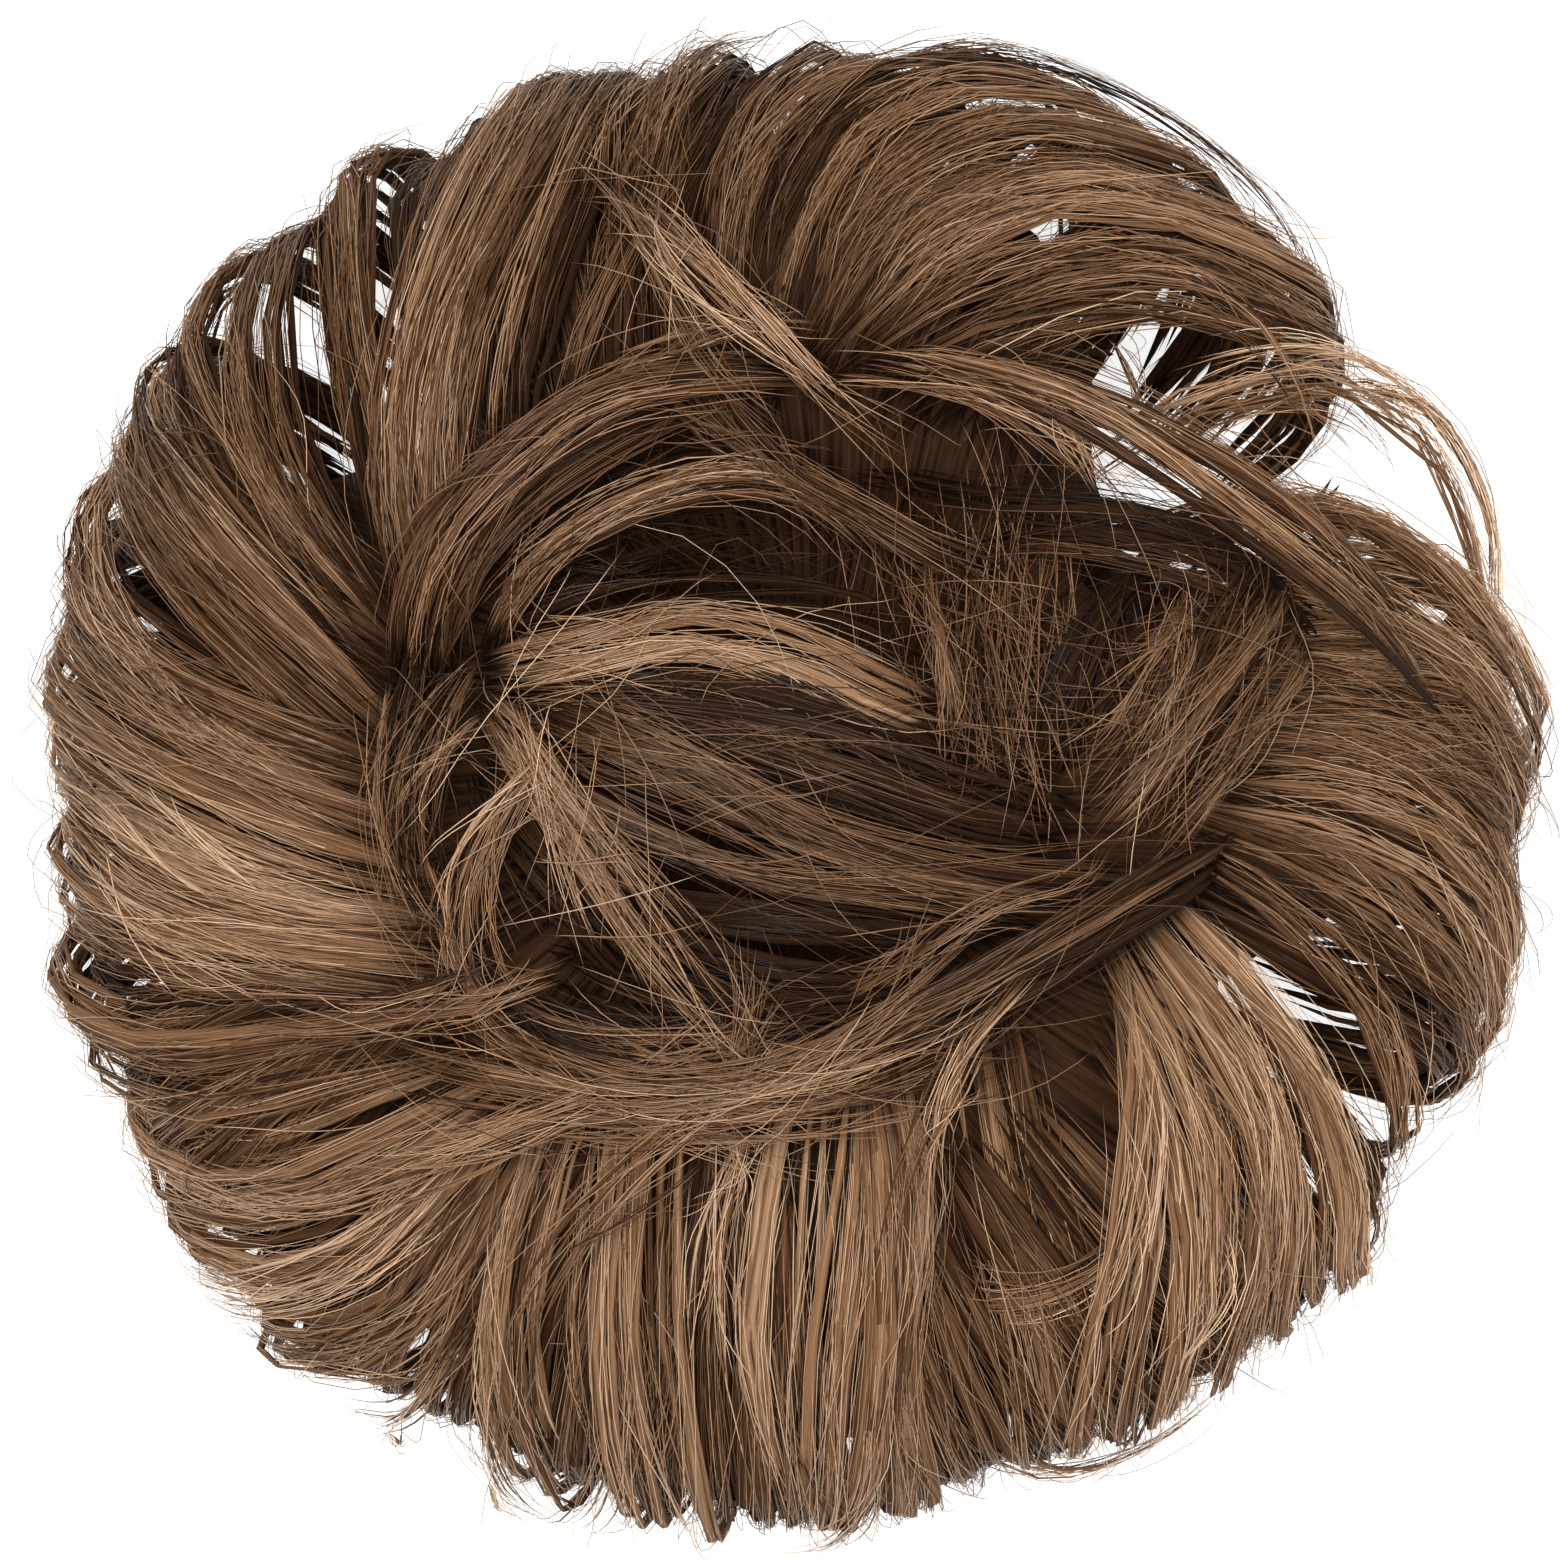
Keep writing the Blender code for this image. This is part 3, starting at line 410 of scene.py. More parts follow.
def guidePoints(guide):
    last = len(guide["route"]) - 1
    points = []
    for step, (x, y) in enumerate(guide["route"]):
        lift = np.interp(step / last * (len(guide["lifts"]) - 1), range(len(guide["lifts"])), guide["lifts"])
        points.append(np.array((x, y, float(domeHeight(x, y)) + lift)))
    if guide["end"] == "over":
        # The root reaches further in, under the crown
        points[0][2] += roll["rootLift"]
        points.insert(0, points[0] + 7 * unit(points[0] - points[1]) - np.array((0, 0, 1.0)))
        x, y = guide["route"][-1]
        reach, bearing = max(math.hypot(x, y), roll["leastReach"]), math.degrees(math.atan2(y, x))
        for turned, (out, height) in zip(roll["turned"], roll["drop"]):
            points.append(polar(reach + out, bearing + turned * guide["sweep"], height))
    elif guide["end"] == "dive":
        points[0][2] -= 3
        points[-1][2] -= 4
    return points


def unit(v):
    return v / np.maximum(np.linalg.norm(v, axis=-1), 1e-9)[..., None]


def framesOf(curves):
    # Along, across and outward directions at each point of each curve
    along = unit(np.gradient(curves, axis=1))
    across = unit(np.cross(along, curves - bodyMiddle))
    return along, across, np.cross(across, along)


def waves(count, steps, cycles):
    # A smooth random wander for each curve, about 1 in size, that also slants across
    t = np.linspace(0, 1, steps)[None]
    total = rng.normal(0, .6, (count, 1)) * (2 * t - 1)
    for k in range(1, cycles + 1):
        total = total + rng.normal(0, 1 / k, (count, 1)) * np.sin(math.pi * k * t + rng.uniform(0, 2 * math.pi, (count, 1)))
    return total


def fanBunches(fan):
    names = fan["guides"].split()
    curves = np.stack([smoothCurve(guidePoints(guides[name]), fineSteps) for name in names])
    tones = [guides[name]["tone"] for name in names]
    n, last = fan["bunches"], len(names) - 1
    q = np.clip(np.linspace(-.2, last + .2, n) + rng.normal(0, .10, n), -.35, last + .35)
    low = np.clip(np.floor(q).astype(int), 0, last - 1)
    share = (q - low)[:, None, None]
    base = curves[low] * (1 - share) + curves[low + 1] * share
    gap = np.linalg.norm(curves[low + 1] - curves[low], axis=2)
    half = np.maximum(gap * last / n * .85, .9) * rng.uniform(.75, 1.35, (n, 1))
    depth = rng.uniform(0, 1, (n, 1)) ** 1.4 * fan["depth"]
    aside = half * .7 * waves(n, fineSteps, 2)
    rise = rng.normal(-.2, .8, (n, 1)) * np.sin(math.pi * s) ** 4 - depth * (.4 + .6 * np.sin(math.pi * s)) - .6 + .5 * waves(n, fineSteps, 2) + rng.normal(0, 1.3, (n, 1)) * s ** 2
    # Deeper bunches take a lower tone: painted shade under the bunches above them.
    tone = np.interp(q, range(last + 1), tones) + rng.normal(0, .08, n) - .03 * depth[:, 0]
    return dict(base=base, aside=aside, rise=rise, half=half * np.interp(s, *tapers["over"]), thick=np.full((n, 1), 1.3), tone=tone, end=["over"] * n)


def lockBunches(guide):
    n = max(1, round(guide["width"] / (1.3 if guide["end"] in ("tips", "free") else 2.3)))
    curve = smoothCurve(guidePoints(guide), fineSteps)
    taper = np.interp(s, *tapers[guide["end"]])
    u = (np.arange(n)[:, None] + .5) / n * 2 - 1 + rng.normal(0, .12, (n, 1))
    sink = 1 if guide["end"] == "over" else 0
    aside = u * .5 * guide["width"] * .85 * np.interp(s, *apart[guide["end"]]) + .10 * guide["width"] * waves(n, fineSteps, 2)
    bulge = np.sqrt(np.maximum(0, 1 - np.clip(u, -1, 1) ** 2)) * rng.uniform(.3, 1.0, (n, 1)) - sink
    rise = bulge * .5 * guide["thick"] * taper + .35 * waves(n, fineSteps, 2)
    half = np.maximum(.5 * guide["width"] / n * 1.25, .35) * rng.uniform(.7, 1.35, (n, 1)) * taper
    tone = guide["tone"] + rng.normal(0, .11, n)
    thick = np.full((n, 1), min(1.3, guide["thick"] * .35))
    return dict(base=np.repeat(curve[None], n, 0), aside=aside, rise=rise, half=half, thick=thick, tone=tone, end=[guide["end"]] * n)


# A deeper layer round the rim, between the guides of each side, with a low tone as painted shade under the locks. Gaps
# are bearings left open
underlay = dict(
    sectors=dict(left=(118, 200), bottom=(200, 312), right=(-48, 42), top=(42, 118)),
    every=4.2, depth=4.5, tone=.26, half=3.0,
    gaps=((137, 8), (38, 15), (-25, 6)),
    sweep=dict(left=-14, bottom=4, right=-14, top=-16),
)


def openBearings(bearings):
    for middle, spread in underlay["gaps"]:
        bearings = bearings[np.abs((bearings - middle + 180) % 360 - 180) > spread]
    return bearings


def underBunches(part):
    start, end = underlay["sectors"][part]
    bearings = np.arange(start, end, underlay["every"]) + rng.normal(0, 1.0, len(np.arange(start, end, underlay["every"])))
    bearings = openBearings(bearings)
    curves = []
    for bearing in bearings:
        sweep = underlay["sweep"][part] * rng.uniform(.5, 1.5)
        points = []
        for turned, out in zip((-.6, -.3, 0, .2), (36, 50, 64, 70.5)):
            x, y, _ = polar(out, bearing + turned * sweep, 0)
            points.append(np.array((x, y, float(domeHeight(x, y)) - underlay["depth"])))
        for turned, (out, height) in zip(roll["turned"], roll["drop"]):
            points.append(polar(70.5 + out, bearing + (.2 + turned * .6) * sweep, height))
        curves.append(smoothCurve(points, fineSteps))
    n = len(curves)
    return dict(
        base=np.stack(curves), aside=1.2 * waves(n, fineSteps, 2), rise=.5 * waves(n, fineSteps, 2),
        half=underlay["half"] * rng.uniform(.7, 1.3, (n, 1)) * np.interp(s, *tapers["over"]), thick=np.full((n, 1), 1.2),
        tone=underlay["tone"] + rng.normal(0, .08, n), end=["over"] * n,
    )


# Thin locks that leave their neighbours and lie across them
stray = dict(count=dict(left=20, top=24, bottom=34, right=20, crown=44), aside=1.7, lift=(.3, 2.4), half=(.4, 1.2), splay=2.2)


def strayBunches(part, bunches):
    n = stray["count"][part]
    own = rng.integers(0, len(bunches["tone"]), n)
    first = rng.uniform(.02, .35, (n, 1))
    last = np.minimum(first + rng.uniform(.35, .6, (n, 1)), np.where(bunches["end"][own] == "over", .62, .95)[:, None])
    base = sampled(bunches["curve"], own, first + (last - first) * s)
    rise = rng.uniform(*stray["lift"], (n, 1)) * np.sin(math.pi * np.clip(s * .8 + .1, 0, 1)) + .3 * waves(n, fineSteps, 2)
    rise += np.where(bunches["end"][own] == "over", stray["splay"] * rng.random(n), 0)[:, None] * s ** 2.5
    return laid(dict(
        base=base, aside=stray["aside"] * waves(n, fineSteps, 1), rise=rise, thick=np.full((n, 1), .8),
        half=rng.uniform(*stray["half"], (n, 1)) * np.interp(s, *tapers["free"]),
        tone=bunches["tone"][own] + rng.normal(.05, .11, n), end=np.array(["free"] * n),
    ))


def joined(groups):
    return {key: np.concatenate([np.asarray(g[key]) for g in groups]) for key in groups[0]}


def laid(rows):
    # The final curve of each row, with its directions
    along, across, outward = framesOf(rows["base"])
    rows["curve"] = rows["base"] + across * rows["aside"][..., None] + outward * rows["rise"][..., None]
    rows["along"], rows["across"], rows["outward"] = framesOf(rows["curve"])
    return rows


def wispsOf(bunches):
    # Each bunch is a few flat wisps over its outer side
    widest = bunches["half"].max(axis=1)
    fine = np.isin(bunches["end"], ("tips", "free"))
    own = np.repeat(np.arange(len(widest)), np.clip(np.round((widest * 1.7 + 1.0) * np.where(fine, .7, 1)), 2, 10).astype(int))
    n = len(own)
    a = rng.uniform(-1, 1, (n, 1))
    ends = bunches["end"][own]
    loose = np.isin(ends, ("tips", "free"))[:, None]
    first = rng.uniform(0, 1, (n, 1)) * np.where(ends == "free", .30, .05)[:, None]
    last = 1 - rng.uniform(0, 1, (n, 1)) * np.where(loose, .34, .10)
    where = first + (last - first) * s
    half, thick = sampled(bunches["half"], own, where), bunches["thick"][own]
    odd = np.where(rng.random((n, 1)) < .15, 2.4, 1.0)
    root = .4 + .6 * np.minimum(s * 3, 1)
    spread = np.stack([np.interp(place, *apart[end]) / max(apart[end][1][1:3]) for place, end in zip(where, ends)])
    aside = a * np.where(loose, widest[own][:, None] * spread * 1.1, half) + .34 * odd * waves(n, fineSteps, 3) * root
    rise = np.sqrt(1 - a ** 2) * thick * rng.uniform(.1, 1, (n, 1)) * half / widest[own][:, None] + .22 * odd * waves(n, fineSteps, 3) * root
    taper = np.stack([np.interp(s[0], *tapers[end]) for end in ends])
    return laid(dict(
        base=sampled(bunches["curve"], own, where), aside=aside, rise=rise, end=ends,
        half=np.clip(half.max(axis=1) * np.where(loose[:, 0], .26, .36), .18, .80)[:, None] * rng.uniform(.7, 1.3, (n, 1)) * taper,
        tone=bunches["tone"][own] + rng.normal(0, .07, n),
    ))


def sampled(values, which, places):
    # Values of chosen curves at places from 0 to 1
    place = np.clip(places, 0, 1) * (values.shape[1] - 1)
    low = np.minimum(place.astype(int), values.shape[1] - 2)
    share = place - low
    if values.ndim == 3:
        share = share[..., None]
    rows = which[:, None]
    return values[rows, low] * (1 - share) + values[rows, low + 1] * share


# Past this reach from the middle, what stands off the rim is drawn in to a share of its length
flyaway = dict(reach=78.5, beyond=.38)


def tubeMesh(name, rings, firsts, lasts, places, finish, floor=.25):
    # Closed tubes from rings of points: tubes x steps x sides x 3, pointed at both ends, on strips of one map
    count, steps, sides = rings.shape[:3]
    each = 2 + sides * steps
    verts = np.empty((count, each, 3))
    verts[:, 0], verts[:, -1] = firsts, lasts
    verts[:, 1:-1] = rings.reshape(count, -1, 3)
    verts[..., 2] = np.maximum(verts[..., 2], floor)
    reach = np.hypot(verts[..., 0], verts[..., 1])
    held = np.minimum(reach, flyaway["reach"] + np.maximum(reach - flyaway["reach"], 0) * flyaway["beyond"])
    verts[..., :2] *= (held / np.maximum(reach, 1e-6))[..., None]
    rows = np.linspace(.015, .985, steps + 2)
    tris, quads, triMap, quadMap = [], [], [], []
    for side in range(sides):
        after = (side + 1) % sides
        left, right = side / sides, (side + 1) / sides
        end, base = each - 1, 1 + sides * (steps - 1)
        tris.append((0, 1 + side, 1 + after))
        triMap.append(((left + right) / 2, rows[0], left, rows[1], right, rows[1]))
        tris.append((end, base + after, base + side))
        triMap.append(((left + right) / 2, rows[-1], right, rows[-2], left, rows[-2]))
        for k in range(steps - 1):
            low, high = 1 + sides * k, 1 + sides * (k + 1)
            quads.append((low + after, low + side, high + side, high + after))
            quadMap.append((right, rows[k + 1], left, rows[k + 1], left, rows[k + 2], right, rows[k + 2]))
    starts = (np.arange(count) * each)[:, None, None]
    triVerts = (np.array(tris)[None] + starts).reshape(-1, 3)
    quadVerts = (np.array(quads)[None] + starts).reshape(-1, 4)
    loopVerts = np.concatenate((triVerts.ravel(), quadVerts.ravel())).astype(np.int32)
    sizes = np.concatenate((np.full(len(triVerts), 3), np.full(len(quadVerts), 4))).astype(np.int32)
    mesh = bpy.data.meshes.new(name)
    mesh.vertices.add(count * each)
    mesh.vertices.foreach_set("co", (verts * mm).astype(np.float32).ravel())
    mesh.loops.add(len(loopVerts))
    mesh.loops.foreach_set("vertex_index", loopVerts)
    mesh.polygons.add(len(sizes))
    mesh.polygons.foreach_set("loop_start", np.concatenate(([0], np.cumsum(sizes)[:-1])).astype(np.int32))
    left, strip = places
    triUv = np.array(triMap).reshape(1, -1, 2).repeat(count, 0)
    quadUv = np.array(quadMap).reshape(1, -1, 2).repeat(count, 0)
    for block in (triUv, quadUv):
        block[..., 0] = left[:, None] + strip * block[..., 0]
    layer = mesh.uv_layers.new(name="OFBake")
    layer.uv.foreach_set("vector", np.concatenate((triUv.ravel(), quadUv.ravel())).astype(np.float32))
    mesh.update(calc_edges=True)
    mesh.shade_smooth()
    mesh.materials.append(finish)
    piece = bpy.data.objects.new(name, mesh)
    scene.collection.objects.link(piece)
    return piece


def stripPlace(tones, strip):
    return .02 + np.clip(tones, 0, 1) * (.96 - strip), strip


def finishPiece(piece, slot, *nodes):
    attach(piece, "root")
    if nodes:
        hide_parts(*nodes)
    print(piece.name, len(piece.data.loops) - 2 * len(piece.data.polygons), "triangles")


# The wisps under the fibres take a lower tone than their fibres: painted shade in the gaps between fibres.
wisp = dict(
    places=(0, .14, .32, .48, .60, .69, .77, .85, .93, 1), sides=4, flatness=.42, strip=.06, paintedGapShade=.23,
)


def wispTubes(name, wisps, finish):
    own = np.arange(len(wisps["tone"]))
    places = np.repeat(np.array(wisp["places"])[None], len(own), 0)
    centre, half = sampled(wisps["curve"], own, places), sampled(wisps["half"], own, places)
    across, outward = sampled(wisps["across"], own, places), sampled(wisps["outward"], own, places)
    twist = rng.normal(0, .35, (len(own), 1, 1))
    flat, thick = across * np.cos(twist) + outward * np.sin(twist), outward * np.cos(twist) - across * np.sin(twist)
    rings = []
    for side in range(wisp["sides"]):
        turn = 2 * math.pi * (side + .25) / wisp["sides"]
        rings.append(centre + (flat * math.cos(turn) + thick * wisp["flatness"] * math.sin(turn)) * half[..., None])
    rings = np.stack(rings, axis=2)[:, 1:-1]
    # Lowering the wisp tone here paints shade between the fibres.
    return tubeMesh(name, rings, centre[:, 0], centre[:, -1], stripPlace(wisps["tone"] - wisp["paintedGapShade"], wisp["strip"]), finish)


strand = dict(radius=(.042, .074), wander=.22, rogues=.34, drift=4.2, strip=.012, toneSpread=.14)
rimPlaces = (0, .15, .30, .44, .55, .64, .73, .82, .91, 1)
facePlaces = (0, .11, .22, .33, .44, .56, .67, .78, .89, 1)


def hairTubes(name, path, outward, radius, tone, finish):
    # Three-sided fibres, pointed at both ends
    along = unit(np.gradient(path, axis=1))
    side = unit(np.cross(along, outward))
    up = np.cross(side, along)
    rings = []
    for corner in range(3):
        turn = math.pi / 2 + 2 * math.pi * corner / 3
        rings.append(path + radius[..., None] * (side * math.cos(turn) + up * math.sin(turn)))
    rings = np.stack(rings, axis=2)[:, 1:-1]
    return tubeMesh(name, rings, path[:, 0], path[:, -1], stripPlace(tone, strand["strip"]), finish)


def strandTubes(name, wisps, count, places, finish):
    weight = wisps["half"].max(axis=1) ** .8 * np.where(np.isin(wisps["end"], ("tips", "free")), 1.9, 1) * np.clip(wisps["tone"] * 3.2, .22, 1)
    own = np.sort(rng.choice(len(weight), count, p=weight / weight.sum()))
    free, over = np.isin(wisps["end"][own], ("tips", "free")), wisps["end"][own] == "over"
    first = rng.uniform(0, .15, count)
    cut = np.where(over, .42, np.where(free, .40, .22))
    last = 1 - rng.uniform(0, 1, count) ** 1.5 * cut
    t = np.array(places)[None]
    where = first[:, None] + (last - first)[:, None] * t
    centre, half = sampled(wisps["curve"], own, where), sampled(wisps["half"], own, where)
    across, outward = sampled(wisps["across"], own, where), sampled(wisps["outward"], own, where)
    u = rng.normal(0, .75, (count, 1))
    v = np.sqrt(np.maximum(0, 1 - np.minimum(np.abs(u), 1) ** 2)) * rng.uniform(.7, 1.3, (count, 1))
    v = np.where(rng.random((count, 1)) < .15, -v, v)
    rogue = rng.random((count, 1)) < strand["rogues"]
    wander = strand["wander"] * rng.lognormal(0, .5, (count, 1))
    wander = np.where(rogue, wander * 1.8 + .2, wander)
    drift = np.where(rogue, rng.normal(0, strand["drift"], (count, 1)), 0) * (t - .5)
    flare = 1 + np.where(free[:, None], 3.2, .5) * t ** 3
    steps = len(places)
    aside = u * np.maximum(half, .22) * flare * 1.25 + wander * waves(count, steps, 2) + drift
    rise = v * half * wisp["flatness"] * 1.2 + .08 + .45 * wander * waves(count, steps, 2)
    rise += np.where(rogue, rng.uniform(0, 1.5, (count, 1)), 0) * np.sin(math.pi * t)
    path = centre + across * aside[..., None] + outward * rise[..., None]
    radius = rng.uniform(*strand["radius"], (count, 1)) * np.interp(t, (0, .15, .7, 1), (.7, 1, 1, .5))
    tone = wisps["tone"][own]
    tone = tone + (rng.normal(.02, strand["toneSpread"], count) + np.where(rogue[:, 0], .08, 0)) * np.clip(tone * 2.6, .3, 1)
    return hairTubes(name, path, outward, radius, tone, finish)


guides = {row[0]: dict(zip(columns, row)) for row in locks}
fans = [dict(zip(sheetColumns, row)) for row in sheets]
inFans = {name for fan in fans for name in fan["guides"].split()}
# Painted light and shade by part: tones lowered for the crown (most, for its shaded hollow), top and left, and raised
# for the bottom and right, where light falls on them.
partPaintedLight = dict(left=-.08, top=-.09, bottom=.12, right=.04, crown=-.24)
strandCounts = dict(left=1750, top=1900, bottom=2250, right=1450, crown=2500)
flows = []
for part, count in strandCounts.items():
    groups = [fanBunches(fan) for fan in fans if fan["part"] == part]
    groups += [lockBunches(g) for g in guides.values() if g["part"] == part and g["name"] not in inFans]
    if part in underlay["sectors"]:
        groups.append(underBunches(part))
    bunches = laid(joined(groups))
    bunches["tone"] = bunches["tone"] + partPaintedLight[part]
    bunches = joined([bunches, strayBunches(part, bunches)])
    flows.append(dict(bunches, part=[part] * len(bunches["tone"])))
    wisps = wispsOf(bunches)
    finishPiece(wispTubes(part + "Wisps", wisps, bodyFinish), "hair", "hair")
    places = facePlaces if part == "crown" else rimPlaces
    finishPiece(strandTubes(part + "Fibres", wisps, count, places, strandFinish), "hair", "hair")


# Loose hairs: they follow the bunches but wander off them, and round the rim they stand out. In the tangle
# beside the middle short fine ones cross each other

loose = dict(slant=12, face=950, rim=550, tangle=190, tangleMiddle=(21, 13), tangleSpread=(5.5, 7))
loosePlaces = np.linspace(0, 1, 9)


def looseHairs():
    t = loosePlaces[None]
    onFace = np.isin(flow["part"], ("crown",))
    over = flow["end"] == "over"
    faceOwn = rng.choice(len(over), loose["face"], p=np.where(onFace, 3.0, 1.0) / np.where(onFace, 3.0, 1.0).sum())
    rimOwn = rng.choice(np.flatnonzero(over), loose["rim"])
    own = np.concatenate((faceOwn, rimOwn))
    n, isRim = len(own), (np.arange(len(own)) >= loose["face"])[:, None]
    first = np.where(isRim, rng.uniform(.15, .55, (n, 1)), rng.uniform(0, .6, (n, 1)))
    length = np.where(isRim, rng.uniform(.18, .36, (n, 1)), rng.uniform(.25, .55, (n, 1)))
    where = first + length * t
    centre = sampled(flow["curve"], own, where)
    across, outward = sampled(flow["across"], own, where), sampled(flow["outward"], own, where)
    aside = rng.normal(0, 1.0, (n, 1)) * flow["half"][own].max(axis=1)[:, None] + rng.gamma(1.6, .75, (n, 1)) * waves(n, len(loosePlaces), 2)
    aside += np.where(onFace[own][:, None], rng.normal(0, loose["slant"], (n, 1)), 0) * (t - .5)
    stand = rng.gamma(1.5, 1.1, (n, 1))
    rise = .8 + np.where(isRim, stand * t ** 1.6 * 1.7, .8 * stand * np.sin(math.pi * t)) + .4 * waves(n, len(loosePlaces), 2)
    path = centre + across * aside[..., None] + outward * np.maximum(rise, .1)[..., None]
    tone = flow["tone"][own] + rng.normal(.12, .14, n)
    m = loose["tangle"]
    heading = np.where(rng.random((m, 1)) < .6, rng.normal(1.65, .22, (m, 1)), rng.normal(2.5, .6, (m, 1))) + rng.normal(0, .5, (m, 1)) * (t - .5)
    step = rng.uniform(12, 30, (m, 1)) / len(loosePlaces)
    x = loose["tangleMiddle"][0] + rng.normal(0, loose["tangleSpread"][0], (m, 1)) + np.cumsum(np.cos(heading) * step, axis=1)
    y = loose["tangleMiddle"][1] + rng.normal(0, loose["tangleSpread"][1], (m, 1)) + np.cumsum(np.sin(heading) * step, axis=1)
    x, y = x - 4.5 * step * np.cos(heading[:, 4:5]), y - 4.5 * step * np.sin(heading[:, 4:5])
    height = domeHeight(x, y) + rng.uniform(-5, 3, (m, 1)) + 1.2 * waves(m, len(loosePlaces), 2)
    path = np.concatenate((path, np.stack((x, y, height), axis=2)))
    tone = np.concatenate((tone, rng.uniform(.2, .62, m)))
    radius = rng.uniform(.038, .062, (n + m, 1)) * np.interp(loosePlaces, (0, .2, .7, 1), (.6, 1, 1, .5))[None]
    return hairTubes("looseHairs", path, unit(path - bodyMiddle), radius, tone, strandFinish)


flow = joined(flows)
finishPiece(looseHairs(), "hair", "hair")


# The dense hair inside, painted very dark as the shade between the locks, open underneath for the wearer's own knot

inner = dict(
    section=(
        (0, 37.6), (10, 36.1), (16.7, 31), (18.9, 22), (18.6, 9), (25, 8.6), (33.2, 8.4), (36, 4.2), (48, 4.4),
        (57, 9), (64, 19), (65.5, 28), (62.5, 38), (55, 46), (46, 51.5), (38, 54.3), (28, 54.6), (18, 50), (8, 45.6), (0, 44.8),
    ),
    faceFrom=40,
    around=120,
    dents=((38, 22, 24), (-24, 13, 18), (137, 12, 16)),
    dentInner=36, dentFull=58,
)


def addInner(finish):
    fine = smoothCurve([(r, 0, z) for r, z in inner["section"]], 60)
    turns = -np.linspace(0, 2 * math.pi, inner["around"], endpoint=False)
    swirl = turns[None, :] + fine[:, None, 0] * .004
    degrees = np.degrees(swirl)
    pulled = np.zeros_like(swirl)
    for angle, spread, depth in inner["dents"]:
        off = (degrees - angle + 180) % 360 - 180
        pulled += depth * np.exp(-(off / spread) ** 2)
    pulled *= np.clip((fine[:, None, 0] - inner["dentInner"]) / (inner["dentFull"] - inner["dentInner"]), 0, 1)
    ridges = .5 * np.sin(29 * swirl + 3 * np.sin(fine[:, None, 2] * .12)) + .35 * np.sin(61 * swirl + fine[:, None, 2] * .2)
    radius = fine[:, None, 0] - pulled + ridges * np.clip(fine[:, None, 0] / 30, 0, 1)
    x, y = radius * np.cos(swirl), radius * np.sin(swirl)
    fromHollow = np.hypot(x - dome["hollow"][0], y - dome["hollow"][1]) / dome["hollowRadius"]
    z = fine[:, None, 2] - np.where(fine[:, None, 2] > inner["faceFrom"], dome["hollowDepth"] * np.exp(-fromHollow ** 2), 0)
    rings = np.stack((x, y, z), axis=2)
    return tubeMesh("innerHairShade", rings[None, 1:-1], rings[None, 0, 0], rings[None, -1, 0], (np.zeros(1), 1.0), finish)


def innerShadeMaterial():
    made, shader, s = newMaterial("innerHairShade", {"Roughness": .8, "Specular IOR Level": .05})
    uv = s.node("ShaderNodeUVMap", dict(uv_map="OFBake"), {})
    stretched = s.node("ShaderNodeVectorMath", dict(operation="MULTIPLY"), {0: uv, 1: (420, 9, 1)})
    cloud = s.node("ShaderNodeTexNoise", {}, {"Vector": stretched, "Scale": 1.0, "Detail": 3.0})
    # The low level paints the inner mass dark as the shade deep between the locks.
    ramp = s.node("ShaderNodeValToRGB", dict(stops=fibre["tones"]), {0: cloud * .34 - .12})
    s.tree.links.new(ramp.out, shader.inputs["Base Color"])
    bump = s.node("ShaderNodeBump", {}, {"Height": cloud, "Strength": .8, "Distance": .0006})
    s.tree.links.new(bump.out, shader.inputs["Normal"])
    return made


finishPiece(addInner(innerShadeMaterial()), "hair", "hair")

# The underside: roots that spread from the binding under the rolled rim

skirt = dict(bunches=54, strands=460, tone=.30, half=2.3, heights=((33.4, 5.6), (39, 3.6), (49, 3.5), (58, 7.2), (65, 13.5)), turned=14)


def skirtBunches():
    bearings = openBearings(np.linspace(0, 360, skirt["bunches"], endpoint=False) + rng.normal(0, 1.5, skirt["bunches"]))
    n = len(bearings)
    curves = []
    for bearing in bearings:
        lean = skirt["turned"] * rng.uniform(-.2, 1.3)
        points = [polar(reach, bearing + lean * k / 4, height) for k, (reach, height) in enumerate(skirt["heights"])]
        curves.append(smoothCurve(points, fineSteps))
    return laid(dict(
        base=np.stack(curves), aside=.8 * waves(n, fineSteps, 2), rise=.25 * waves(n, fineSteps, 2) - .2,
        half=skirt["half"] * rng.uniform(.8, 1.2, (n, 1)) * np.interp(s, (0, .3, 1), (.55, .8, 1)), thick=np.full((n, 1), .7),
        tone=skirt["tone"] + rng.normal(0, .07, n), end=np.array(["dive"] * n),
    ))


skirtWisps = wispsOf(skirtBunches())
finishPiece(wispTubes("skirtWisps", skirtWisps, bodyFinish), "hair", "hair")
finishPiece(strandTubes("skirtFibres", skirtWisps, skirt["strands"], facePlaces, strandFinish), "hair", "hair")


# The elastic band: a round cord in a braided cover

low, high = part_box("weft_binding")
ringMiddle = ((low[0] + high[0]) / 2, (low[1] + high[1]) / 2)
band = dict(radius=21.4, cord=2.32, height=4.2, around=264, sides=24, crossings=66, cords=8, depth=.16)


def bandMaterial():
    made, shader, s = newMaterial("bandBraid", {"Roughness": .7, "Specular IOR Level": .3})
    place = s.node("ShaderNodeTexCoord", {}, {}, "Object")
    cloud = s.node("ShaderNodeTexNoise", {}, {"Vector": place, "Scale": 2600.0, "Detail": 2.0})
    ramp = s.node("ShaderNodeValToRGB", dict(stops=((.3, (.020, .014, .010)), (.7, (.075, .052, .038)))), {0: cloud})
    s.tree.links.new(ramp.out, shader.inputs["Base Color"])
    bump = s.node("ShaderNodeBump", {}, {"Height": cloud, "Strength": .5, "Distance": .0002})
    s.tree.links.new(bump.out, shader.inputs["Normal"])
    return made


